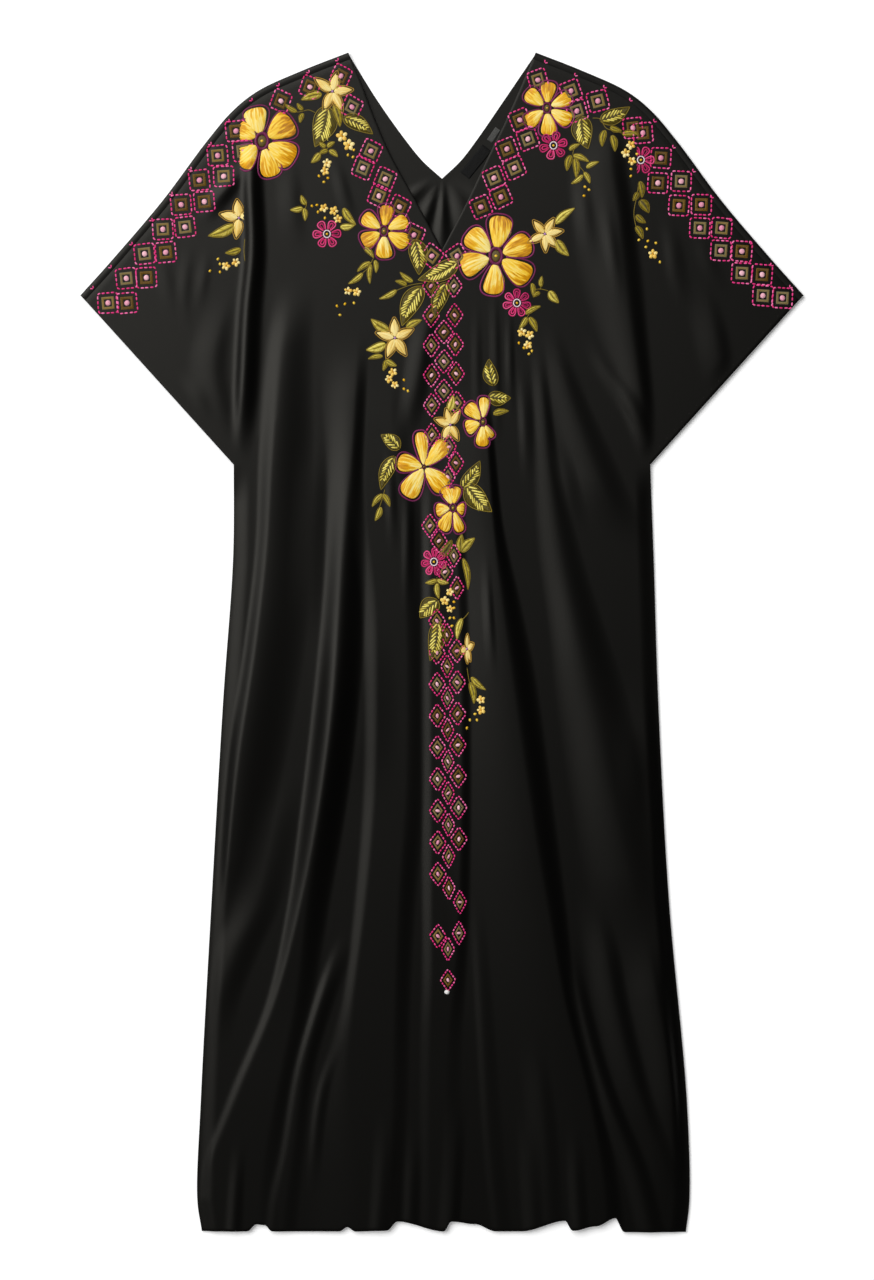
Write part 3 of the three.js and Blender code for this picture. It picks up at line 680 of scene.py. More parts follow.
class Stitching:
    """Threads sewn on the front: patches of points in plan, with their rise over the cloth"""

    def __init__(self):
        self.points = []
        self.faces = []
        self.threads = []
        self.shades = []
        self.count = 0
        self.shown = (-math.inf, math.inf)

    def patch(self, plan, rise, threads, shade):
        down = plan[1:, :-1] - plan[:-1, :-1]
        across = plan[:-1, 1:] - plan[:-1, :-1]
        area = (down[..., 0] * across[..., 1] - down[..., 1] * across[..., 0]).sum()
        faces = grid_faces(*rise.shape, 0, area < 0)
        flat = plan.reshape(-1, 2)
        middle = flat[faces, 0].mean(axis=1)
        faces = faces[(middle > self.shown[0]) & (middle < self.shown[1])]
        self.faces.append(faces + self.count)
        self.points.append(np.column_stack([flat, rise.ravel()]))
        self.threads.append(threads.reshape(-1, 2))
        self.shades.append(np.broadcast_to(shade, rise.shape).ravel())
        self.count += rise.size

    def cord(self, path, width, rise, shade, closed=False):
        """A laid thread or a row of stem stitch along a path"""
        step = np.gradient(path, axis=0)
        if closed:
            step[0] = step[-1] = path[1] - path[-2]
        step /= np.maximum(np.hypot(step[:, 0], step[:, 1]), 1e-9)[:, None]
        sideways = np.stack([-step[:, 1], step[:, 0]], axis=-1)
        run = np.concatenate([[0.0], np.cumsum(np.hypot(*np.diff(path, axis=0).T))])
        taper = np.ones(len(path))
        if not closed:
            from_end = np.clip(2 * np.minimum(run, run[-1] - run) / width, 0, 1)
            taper = CORD_END + (1 - CORD_END) * np.sqrt(1 - (1 - from_end) ** 2)
        half = CORD_ACROSS[None, :] * taper[:, None] * width / 2
        plan = path[:, None] + sideways[:, None] * half[..., None]
        height = THREAD_SINK + (rise - THREAD_SINK) * CORD_LIFT[None, :] * taper[:, None]
        threads = np.stack([(run[:, None] + half) * CORD_TWIST, half], axis=-1)
        self.patch(plan, height, threads, shade)

    def dome(self, x, y, width, length, rise, shade, turn=0.0, rings=4, spokes=10):
        """A knot or a round satin pad"""
        out = np.sin(np.linspace(0, math.pi / 2, rings + 1))
        angle = np.linspace(0, 2 * math.pi, spokes + 1)
        local = np.stack([out[:, None] * np.cos(angle) * length / 2,
                          out[:, None] * np.sin(angle) * width / 2], axis=-1)
        height = THREAD_SINK + (rise - THREAD_SINK) * np.sqrt(np.maximum(0, 1 - out ** 2))
        height = np.repeat(height[:, None], len(angle), axis=1)
        self.patch(laid(local, x, y, turn), height, local[..., ::-1], shade)


def laid(local, x, y, turn, squash=(1.0, 1.0)):
    """A motif's own points, turned, narrowed by the folds and set down in its place"""
    angle = math.radians(turn)
    spin = np.array([[math.cos(angle), math.sin(angle)], [-math.sin(angle), math.cos(angle)]])
    return local @ spin * squash + (x, y)


def stitched(name, stitching, material, height_at=cloth_top):
    """The piece of all the threads of one colour, following the cloth under them"""
    points = np.vstack(stitching.points)
    points[:, 2] += height_at(points[:, 0], points[:, 1])
    faces = np.vstack(stitching.faces)
    piece = new_piece(name, points, faces, material)
    threads = piece.data.uv_layers.new(name="threads")
    threads.data.foreach_set("uv", np.vstack(stitching.threads)[faces.ravel()].ravel())
    shade = piece.data.attributes.new("shade", "FLOAT", "POINT")
    shade.data.foreach_set("value", np.concatenate(stitching.shades))
    reshape(piece.data, lambda shaped: bmesh.ops.delete(
        shaped, geom=[point for point in shaped.verts if not point.link_faces], context="VERTS"))
    return piece


def linear(part):
    """A colour's part, from the 0 to 255 of a dye chart to the light that it gives back"""
    part /= 255
    return part / 12.92 if part < 0.04045 else ((part + 0.055) / 1.055) ** 2.4


THREAD_ROUGHNESS = 0.42
STRAND_PITCH = 0.75


def thread(name, colours, streaks=0.5, grain=(0.6, 0.09)):
    """Embroidery silk: strands side by side, each a little lighter or darker, from dark to light colours"""
    material, tree, shader = new_material(
        name, THREAD_ROUGHNESS, Sheen_Weight=0.06, Sheen_Roughness=0.4, Specular_IOR_Level=0.25)
    strands = new_node(tree, "UVMap")
    strands.uv_map = "threads"
    lengthwise = new_node(tree, "Mapping", Vector=strands.outputs["UV"], Scale=(*grain, 1.0))
    streak = new_node(tree, "TexNoise", Vector=lengthwise.outputs["Vector"], Scale=1.0, Detail=2.5)
    shade = new_node(tree, "Attribute")
    shade.attribute_name = "shade"
    spread = new_node(tree, "Math")
    spread.operation = "MULTIPLY_ADD"
    tree.links.new(streak.outputs["Fac"], spread.inputs[0])
    spread.inputs[1].default_value = 2 * streaks
    spread.inputs[2].default_value = -streaks
    total = new_node(tree, "Math")
    tree.links.new(shade.outputs["Fac"], total.inputs[0])
    tree.links.new(spread.outputs["Value"], total.inputs[1])
    ramp = new_node(tree, "ValToRGB", Fac=total.outputs["Value"])
    stops = ramp.color_ramp.elements
    while len(stops) < len(colours):
        stops.new(1.0)
    for i, colour in enumerate(colours):
        stops[i].position = i / (len(colours) - 1)
        stops[i].color = (*(linear(part) for part in colour), 1.0)
    ridges = new_node(tree, "TexWave", Vector=strands.outputs["UV"], Distortion=0.6,
                      Scale=math.pi / 10 / STRAND_PITCH)
    raised = new_node(tree, "Bump", Height=ridges.outputs["Fac"], Strength=0.5, Distance=0.0002)
    fill(tree, shader, Base_Color=ramp.outputs["Color"], Normal=raised.outputs["Normal"])
    return material


picks = Stitching()
for side in SIDES:
    cuff = edge_points([SHOULDER[-1], UNDERARM], side)
    way = cuff[1] - cuff[0]
    length = math.hypot(*way)
    way /= length
    inward = np.array([-way[1], way[0]]) * -SIDES[side]
    for at in np.arange(PICK_PITCH, length - PICK_PITCH, PICK_PITCH):
        middle = cuff[0] + way * at + inward * PICK_INSET
        path = middle + np.outer(np.linspace(-0.5, 0.5, 5) * PICK_LENGTH, way)
        picks.cord(path, PICK_WIDTH, PICK_RISE, 0.5)
stitched("cuff_pick_stitches", picks, thread("black_sewing_thread", [(22, 20, 18), (48, 45, 40)]))

# The border: squares set in pairs down the sleeves, along the neck and in a narrow lattice down the middle.
# Each is a ring of running stitch in pink round a satin-stitched square with a pale pink pad in it.
# Its places are read from the photograph in pixels.
PIXEL = 1.1186
PHOTO_MIDDLE = (442, 642)
SQUARE_SIDE = 22.4
STITCHES_A_SIDE = 4
CORNER_ROUND = 0.14
STITCH_SHARE = 0.82
STITCH_WIDTH = 1.9
STITCH_RISE = 0.8
SATIN_SIDE = 14.4
SATIN_HOLE = 8.0
SATIN_RISE = 0.7
CENTRE_PAD = (6.6, 6.2, 1.3)
LATTICE_SIDE = 19.4
SQUARE_SWAY = 1.5
STITCH_SWAY = 1.2
SATIN_SHADES = [0.15, 0.8]
TIP_LENGTH = 3.5
TIP_SPREAD = 38

Run = namedtuple("Run", "name first last count side turn squash")
BORDER = [
    Run("left sleeve, upper", (108, 303), (236, 131), 8, SQUARE_SIDE, 5, 1.0),
    Run("left sleeve, lower", (127, 303), (243, 151), 7, SQUARE_SIDE, 5, 1.0),
    Run("left shoulder, outer", (281, 101), (310, 87), 2, SQUARE_SIDE, -22, 0.9),
    Run("left shoulder, inner", (341, 76), (352, 107), 2, SQUARE_SIDE, -26, 0.9),
    Run("left neck, inner", (371, 151), (414, 235), 4, SQUARE_SIDE, -24, 0.93),
    Run("left neck, outer", (363, 168), (379, 196), 2, SQUARE_SIDE, -22, 0.93),
    Run("left of the neck's point", (432, 256), (432, 256), 1, SQUARE_SIDE, -35, 0.9),
    Run("right of the neck's point", (457, 256), (457, 256), 1, SQUARE_SIDE, 35, 0.9),
    Run("right neck, inner", (520, 120), (481, 207), 4, SQUARE_SIDE, 22, 0.95),
    Run("right neck, outer", (528, 139), (501, 197), 3, SQUARE_SIDE, 22, 0.95),
    Run("right shoulder, neck end", (538, 80), (538, 80), 1, SQUARE_SIDE, 18, 0.9),
    Run("right shoulder, middle", (571, 91), (577, 111), 2, SQUARE_SIDE, 20, 0.95),
    Run("right shoulder, outer", (598, 101), (598, 101), 1, SQUARE_SIDE, 18, 1.0),
    Run("right armhole", (633, 128), (643, 133), 2, SQUARE_SIDE, 6, 0.95),
    Run("right sleeve, upper", (661, 158), (782.5, 298), 7, SQUARE_SIDE, -3, 1.0),
    Run("right sleeve, lower", (658, 183), (763, 295.7), 6, SQUARE_SIDE, -3, 1.0),
    Run("left lattice, chest", (431, 286), (432, 435), 6, LATTICE_SIDE, 45, 0.70),
    Run("right lattice, chest", (454, 286), (457, 403), 5, LATTICE_SIDE, 45, 0.70),
    Run("middle lattice, chest", (444, 332), (444, 391), 3, LATTICE_SIDE, 45, 0.78),
    Run("middle lattice, under the star", (449, 447), (448, 477), 2, LATTICE_SIDE, 45, 0.62),
    Run("right lattice, between flowers", (456, 463), (456, 463), 1, LATTICE_SIDE, 45, 0.66),
    Run("left lattice, waist", (430, 526), (430, 526), 1, LATTICE_SIDE, 45, 0.70),
    Run("middle lattice, waist", (439, 541), (445, 572), 2, LATTICE_SIDE, 45, 0.70),
    Run("right lattice, waist", (454, 556), (457, 588), 2, LATTICE_SIDE, 45, 0.60),
    Run("left lattice, lower", (437, 621), (438, 874), 9, LATTICE_SIDE, 45, 0.70),
    Run("right lattice, lower", (457, 651), (459, 839), 7, LATTICE_SIDE, 45, 0.70),
    Run("middle lattice, lower", (447, 635), (449, 888), 9, LATTICE_SIDE, 45, 0.52),
    Run("right lattice, last", (460, 902), (460, 902), 1, LATTICE_SIDE, 45, 0.55),
    Run("last pair, left", (438, 936), (438, 936), 1, LATTICE_SIDE, 45, 0.70),
    Run("last pair, right", (459, 933), (448, 949), 2, LATTICE_SIDE, 45, 0.55),
    Run("last square", (448, 980), (448, 980), 1, LATTICE_SIDE * 0.9, 45, 0.70),
]
# Where the points of the back's squares come round the shoulder, and which way they open
EDGE_TIPS = {
    "left": [
        (336, 59), (307, 71), (277, 84), (250, 99), (227, 120), (209, 143), (189, 168), (170, 193),
        (150, 219), (130, 243), (109, 266), (91, 287),
    ],
    "right": [
        (547, 61), (577, 74), (606, 86), (632, 99), (656, 120), (675, 146), (695, 170), (713, 196),
        (732, 219), (752, 242), (773, 264), (792, 286),
    ],
}
TIP_TURN = {"left": 135, "right": 45}
TIP_INSET = {"left": (2.6, -2.2), "right": (-2.6, -2.2)}


def on_garment(across, down):
    """Millimetres on the garment, for a place in the photograph"""
    return (across - PHOTO_MIDDLE[0]) * PIXEL, (PHOTO_MIDDLE[1] - down) * PIXEL


def square_points(side):
    """A square's corners, ending with the first"""
    half = side / 2
    return np.array([(-half, -half), (half, -half), (half, half), (-half, half), (-half, -half)])


def running_square(stitching, x, y, side, turn, squash):
    """A row of small stitches round a square with rounded corners"""
    corner = side * CORNER_ROUND
    quarter = np.radians(np.linspace(-90, 0, 5))
    bend = np.column_stack([np.cos(quarter), np.sin(quarter)]) * corner + side / 2 - corner
    bend[:, 1] -= side - 2 * corner
    outline = [laid(bend, 0, 0, 90 * k) for k in range(4)]
    outline = along(np.vstack([*outline, outline[0][:1]]), np.linspace(0, 1, 241))
    count = 4 * STITCHES_A_SIDE
    first = dice.uniform(0, 1)
    for i in range(count):
        shares = (first + i + np.linspace(0, STITCH_SHARE, 6)) / count % 1
        path = laid(along(outline, shares), x, y, turn + dice.normal(0, STITCH_SWAY), (squash, 1.0))
        stitching.cord(path, STITCH_WIDTH, STITCH_RISE, dice.uniform(0.1, 0.9))


def satin_square(stitching, x, y, side, hole, turn, squash, shade):
    """Four mitred bars, their threads square to the outer edge"""
    outer = square_points(side)
    inner = square_points(hole)
    share = np.linspace(0, 1, 7)[:, None]
    across = np.linspace(0, 1, 7)
    lift = (1 - (2 * across - 1) ** 4) ** 0.5
    for k in range(4):
        outside = outer[k] + (outer[k + 1] - outer[k]) * share
        inside = inner[k] + (inner[k + 1] - inner[k]) * share
        local = outside[:, None] + (inside - outside)[:, None] * across[None, :, None]
        rise = np.repeat((THREAD_SINK + (SATIN_RISE - THREAD_SINK) * lift)[None], len(share), axis=0)
        run = np.repeat(share * side, len(across), axis=1)
        depth = np.repeat(across[None] * (side - hole) / 2, len(share), axis=0)
        tone = shade + 0.18 * np.cos(2 * math.pi * across)[None] * np.ones_like(run)
        stitching.patch(laid(local, x, y, turn, (squash, 1.0)), rise, np.stack([run, depth], axis=-1), tone)


dice = np.random.default_rng(7)
running = Stitching()
satin = Stitching()
pads = Stitching()
for run in BORDER:
    for i in range(run.count):
        share = i / max(1, run.count - 1)
        down = run.first[1] + (run.last[1] - run.first[1]) * share
        x, y = on_garment(run.first[0] + (run.last[0] - run.first[0]) * share, down)
        turn = run.turn + dice.normal(0, SQUARE_SWAY)
        scale = run.side / SQUARE_SIDE
        running_square(running, x, y, run.side, turn, run.squash)
        shade = dice.choice(SATIN_SHADES) + dice.uniform(-0.1, 0.1)
        satin_square(satin, x, y, SATIN_SIDE * scale, SATIN_HOLE * scale, turn, run.squash, shade)
        width, length, rise = CENTRE_PAD
        pads.dome(x, y, width * scale, length * scale * run.squash, rise, dice.uniform(0.3, 0.9),
                  dice.uniform(0, 180))
for side, places in EDGE_TIPS.items():
    for place in places:
        tip = np.add(on_garment(*place), TIP_INSET[side])
        for spread in (-1, 1):
            turn = TIP_TURN[side] + spread * TIP_SPREAD
            path = laid(np.linspace((0.3, 0), (0.3 + TIP_LENGTH, 0), 6), *tip, turn)
            running.cord(path, STITCH_WIDTH * 0.8, 0.5, dice.uniform(0.4, 0.9))
pink_thread = thread("pink_thread", [(214, 26, 104), (240, 58, 140), (255, 140, 192)], streaks=0.2)
square_thread = thread("olive_and_grey_thread", [(86, 60, 0), (132, 100, 4), (112, 108, 80)], streaks=0.5)
pale_pink_thread = thread("pale_pink_thread", [(218, 104, 152), (248, 200, 208)], streaks=0.4)
stitched("border_running_stitches", running, pink_thread)
stitched("border_satin_squares", satin, square_thread)
stitched("border_centre_pads", pads, pale_pink_thread)

# The large flowers: broad petals in gold silk, in long and short stitch from the eye outwards. Each petal
# is outlined in plum stem stitch, and the eye is a plum ring round olive satin with a gold knot.
PETAL_RISE = 1.6
OUTLINE_WIDTH = 1.9
OUTLINE_RISE = 0.9
OUTLINE_GAP = 1.5
PETAL_STEPS = 21
PETAL_FOOT = 0.042
PETAL_WANDER = 0.1
PETAL_RIPPLE = 0.1
# How far out the petal stays wide, and how sharply it ends
PETAL_TIPS = {"round": (5.0, 0.5), "pointed": (1.3, 1.15)}
# Where a petal's strands turn from cream to gold, as shares of its length
PETAL_DEEP = [(0.35, 1.0), (0.1, 0.8), (0.5, 1.3), (0.2, 1.1)]

EVERYWHERE = (-math.inf, math.inf)
RIGHT_OF_LEFT_FOLD = (-226, math.inf)
LEFT_OF_LEFT_FOLD = (-math.inf, -222)
RIGHT_OF_RIGHT_FOLD = (218, math.inf)
# Each petal has its direction in degrees, and its length and width as shares of the flower's own
Flower = namedtuple("Flower", "name place reach width eye petals squash shown", defaults=[(1, 1), EVERYWHERE])
FLOWERS = [
    Flower("left shoulder", (262, 141), 42, 30, 8.5,
           [(102, 0.92, 0.9), (33, 0.98, 1.05), (-30, 1, 1), (-74, 1, 0.8), (222, 0.9, 0.95),
            (152, 0.75, 0.8)], (1, 1), RIGHT_OF_LEFT_FOLD),
    Flower("left chest", (384, 231), 31, 19, 5.5,
           [(84, 0.95, 0.85), (24, 0.95, 0.9), (-27, 1, 1), (-87, 1, 1), (207, 0.9, 1), (142, 0.95, 0.9)]),
    Flower("right chest", (496, 256), 46, 28, 8.5,
           [(84, 1, 0.95), (22, 0.92, 0.95), (-33, 1, 1), (-97, 0.95, 0.85), (200, 0.9, 1),
            (141, 0.9, 0.95)]),
    Flower("right shoulder", (547, 108), 31, 18, 5.5,
           [(84, 0.95, 0.95), (27, 0.95, 0.9), (-28, 1, 1), (-88, 1, 1), (218, 0.95, 0.95), (140, 0.95, 1)]),
    Flower("waist, left", (424, 467), 40, 23, 2.5,
           [(97, 1, 0.62), (50, 0.95, 0.85), (-46, 0.9, 1), (240, 0.98, 1), (168, 0.76, 0.9)]),
    Flower("waist, right", (483, 422), 28, 17, 4.5,
           [(88, 1, 0.75), (138, 0.98, 1), (202, 0.8, 1), (-92, 1, 0.95), (-56, 0.75, 0.5)], (0.92, 1)),
    Flower("waist, lower", (453, 508), 29, 17, 4.5,
           [(112, 0.85, 0.9), (78, 0.85, 0.7), (-8, 0.5, 0.8), (-70, 1, 0.75), (243, 1, 1),
            (190, 0.75, 0.9)], (0.9, 1)),
]


def petal_half_width(share, tip):
    """Half the petal's width, as a share of its widest, from its foot at 0 to its tip at 1"""
    fullness, sharpness = PETAL_TIPS[tip]
    shape = share ** 0.62 * np.maximum(0, 1 - share ** fullness) ** sharpness
    return shape / shape.max()


def petal(stitching, place, turn, start, length, width, squash=(1, 1), tip="round", rise=PETAL_RISE,
          shade=0.5, edge_shade=-0.1, deep=(0.5, 0.9), depth=0.0, wander=0.0):
    """A satin pad from start to length out along its direction, with threads that run outwards. Each
    strand turns deeper in colour somewhere between the two shares of its length."""
    share = 1 - (1 - np.linspace(0, 1, PETAL_STEPS)[:, None]) ** 1.6
    across = np.linspace(-1, 1, PETAL_STEPS)[None]
    arch = np.sin(share * math.pi)
    half = (petal_half_width(share, tip) / 2 + PETAL_FOOT * (1 - share)) * width
    out = start + (length - start) * share
    local = np.dstack([out + 0 * across, half * across + wander * arch * width * PETAL_WANDER])
    edges_down = (1 - np.abs(across) ** 3.5) * (1 - share ** 10)
    crown = 0.55 + 0.45 * np.sin(math.pi * np.clip(share * 0.9 + 0.1, 0, 1))
    ripple = PETAL_RIPPLE * np.cos(across * 9 + turn) * arch
    height = THREAD_SINK + (rise - THREAD_SINK) * edges_down * crown + ripple
    threads = np.dstack([local[..., 1] + turn * 0.37, local[..., 0]])
    turns_deep = dice.uniform(*deep, PETAL_STEPS)[None]
    tone = shade + edge_shade * across ** 2 - depth * smooth((share - turns_deep) / 0.1 + 0.5)
    stitching.patch(laid(local, *place, turn, squash), height, threads, tone)


def petal_outline(stitching, place, turn, start, length, width, squash=(1, 1), tip="round",
                  cord_width=OUTLINE_WIDTH, shade=0.5, gap=OUTLINE_GAP):
    """A thread round a petal, a gap outside it"""
    share = 1 - (1 - np.linspace(0.02, 1, 22)) ** 2
    half = petal_half_width(share, tip) * width / 2 + gap
    half[-1] = 0
    out = start + (length + gap - start) * share
    local = np.vstack([np.column_stack([out, half]), np.column_stack([out, -half])[-2::-1]])
    path = laid(local, *place, turn, squash)
    path = along(path, np.linspace(0, 1, 1 + int(length * 1.5)))
    stitching.cord(path, cord_width, OUTLINE_RISE, shade)


def ring(x, y, across, down, points=28):
    """The path of a thread laid in a ring"""
    angle = np.linspace(0, 2 * math.pi, points + 1)
    return np.column_stack([x + np.cos(angle) * across / 2, y + np.sin(angle) * down / 2])


gold = Stitching()
plum = Stitching()
eyes = Stitching()
knots = Stitching()
for flower in FLOWERS:
    place = on_garment(*flower.place)
    for stitching in (gold, plum, eyes, knots):
        stitching.shown = flower.shown
    for turn, reach, breadth in flower.petals:
        size = (flower.eye, flower.reach * reach, flower.width * breadth)
        deep = PETAL_DEEP[dice.integers(len(PETAL_DEEP))]
        petal(gold, place, turn, *size, flower.squash, shade=dice.uniform(0.6, 0.95), deep=deep, depth=0.5,
              wander=dice.uniform(-1, 1))
        petal_outline(plum, place, turn, *size, flower.squash, shade=dice.uniform(0.3, 0.7))
    plum.cord(ring(*place, flower.eye * 1.6, flower.eye * 2.1), flower.eye * 0.48, 1.7, 0.3, closed=True)
    eyes.dome(*place, flower.eye * 1.2, flower.eye * 1.6, 1.0, 0.3, turn=90)
    knots.dome(*place, flower.eye * 0.42, flower.eye * 0.5, 2.0, 0.7)
gold_thread = thread("gold_silk_thread", [(170, 108, 4), (230, 164, 8), (250, 208, 62), (253, 234, 150)],
                     streaks=0.55, grain=(0.5, 0.06))
plum_thread = thread("plum_thread", [(72, 16, 50), (118, 30, 82), (152, 50, 110)], streaks=0.25)
olive_satin = thread("olive_eye_thread", [(70, 58, 20), (126, 108, 50)], streaks=0.3)
yellow_thread = thread("yellow_thread", [(206, 138, 4), (240, 186, 20), (252, 220, 90)], streaks=0.3)
stitched("flower_petals", gold, gold_thread)
stitched("flower_outlines", plum, plum_thread)
stitched("flower_eyes", eyes, olive_satin)

# The star flowers: narrow pointed petals in pale silk, edged with a thin line in bronze, round a lilac knot.
STAR_CORD = 1.2
STAR_KNOT = (3.0, 3.0, 1.9)
Star = namedtuple("Star", "name place reach width petals squash shown", defaults=[(1, 1), EVERYWHERE])
STARS = [
    Star("left shoulder", (332.5, 91.5), 24, 9.5, (77, 5, -64, 246, 143)),
    Star("left sleeve", (239, 218), 22, 10, (96, 168, 262, 20), (1, 1), LEFT_OF_LEFT_FOLD),
    Star("right chest", (545, 234), 20, 8, (131, 60, 10, -48, -88, 207)),
    Star("left chest", (395, 338), 23, 9.5, (92, 26, -58, 248, 164)),
    Star("middle", (450.5, 425), 19, 8, (105, 58, -62, 242, 160), (0.95, 1)),
    Star("below the waist", (467, 649), 17, 8, (86, 20, -86, 190, -60), (0.5, 1)),
]
pale = Stitching()
bronze = Stitching()
lilac = Stitching()
for star in STARS:
    place = on_garment(*star.place)
    for stitching in (pale, bronze, lilac):
        stitching.shown = star.shown
    for turn in star.petals:
        size = (1.5, star.reach * dice.uniform(0.93, 1.05), star.width)
        petal(pale, place, turn, *size, star.squash, tip="pointed", rise=1.2, shade=dice.uniform(0.75, 0.95),
              edge_shade=-0.25, deep=(0.0, 1.2), depth=0.3)
        petal_outline(bronze, place, turn, *size, star.squash, tip="pointed", cord_width=STAR_CORD, gap=1.1)
    lilac.dome(*place, *STAR_KNOT, 0.5)
pale_thread = thread("pale_yellow_thread", [(184, 128, 30), (236, 198, 98), (252, 236, 164)], streaks=0.35)
bronze_thread = thread("bronze_thread", [(140, 102, 26), (196, 154, 60)], streaks=0.25)
lilac_thread = thread("lilac_thread", [(150, 96, 168), (206, 160, 214)], streaks=0.2)
stitched("star_petals", pale, pale_thread)
stitched("star_edges", bronze, bronze_thread)
stitched("star_knots", lilac, lilac_thread)

# The small pink flowers: each petal is two chain-stitched loops, one in the other, round a white ring
# with a black eye and a yellow knot.
LOOP_CORD = 1.8
LOOP_RING = (7.6, 8.2)
LOOP_EYE = (5.6, 6.0, 0.6)
LOOP_KNOT = (2.8, 3.0, 1.7)
Loops = namedtuple("Loops", "name place reach petals turn squash shown", defaults=[(1, 1), EVERYWHERE])
LOOP_FLOWERS = [
    Loops("left chest", (327, 234), 15.5, 6, 62),
    Loops("right shoulder", (553.5, 145.5), 15.5, 6, 75),
    Loops("right chest", (517, 303), 15.5, 7, 90),
    Loops("waist", (434, 562), 15.5, 7, 85, (0.9, 1)),
    Loops("right sleeve", (641, 160), 15.5, 6, 60, (0.95, 1), RIGHT_OF_RIGHT_FOLD),
]
loops = Stitching()
white_rings = Stitching()
black_eyes = Stitching()
for flower in LOOP_FLOWERS:
    place = on_garment(*flower.place)
    for stitching in (loops, white_rings, black_eyes, knots):
        stitching.shown = flower.shown
    for k in range(flower.petals):
        turn = flower.turn + 360 * k / flower.petals
        breadth = flower.reach * 4.4 / flower.petals
        petal_outline(loops, place, turn, 4.2, flower.reach, breadth * 0.72, flower.squash,
                      cord_width=LOOP_CORD, shade=dice.uniform(0.2, 0.8), gap=0)
        petal_outline(loops, place, turn, 5.5, flower.reach - 2.4, breadth * 0.3, flower.squash,
                      cord_width=LOOP_CORD, shade=dice.uniform(0.0, 0.5), gap=0)
    white_rings.cord(ring(*place, *LOOP_RING), 1.5, 1.3, 0.6, closed=True)
    black_eyes.dome(*place, *LOOP_EYE, 0.3)
    knots.dome(*place, *LOOP_KNOT, 0.5)
loop_thread = thread("bright_pink_thread", [(150, 18, 76), (208, 40, 108), (238, 98, 152)], streaks=0.4)
white_thread = thread("white_thread", [(214, 190, 206), (246, 236, 240)], streaks=0.2)
eye_thread = thread("black_thread", [(10, 8, 8), (34, 28, 26)], streaks=0.2)
stitched("loop_petals", loops, loop_thread)
stitched("loop_rings", white_rings, white_thread)
stitched("loop_eyes", black_eyes, eye_thread)

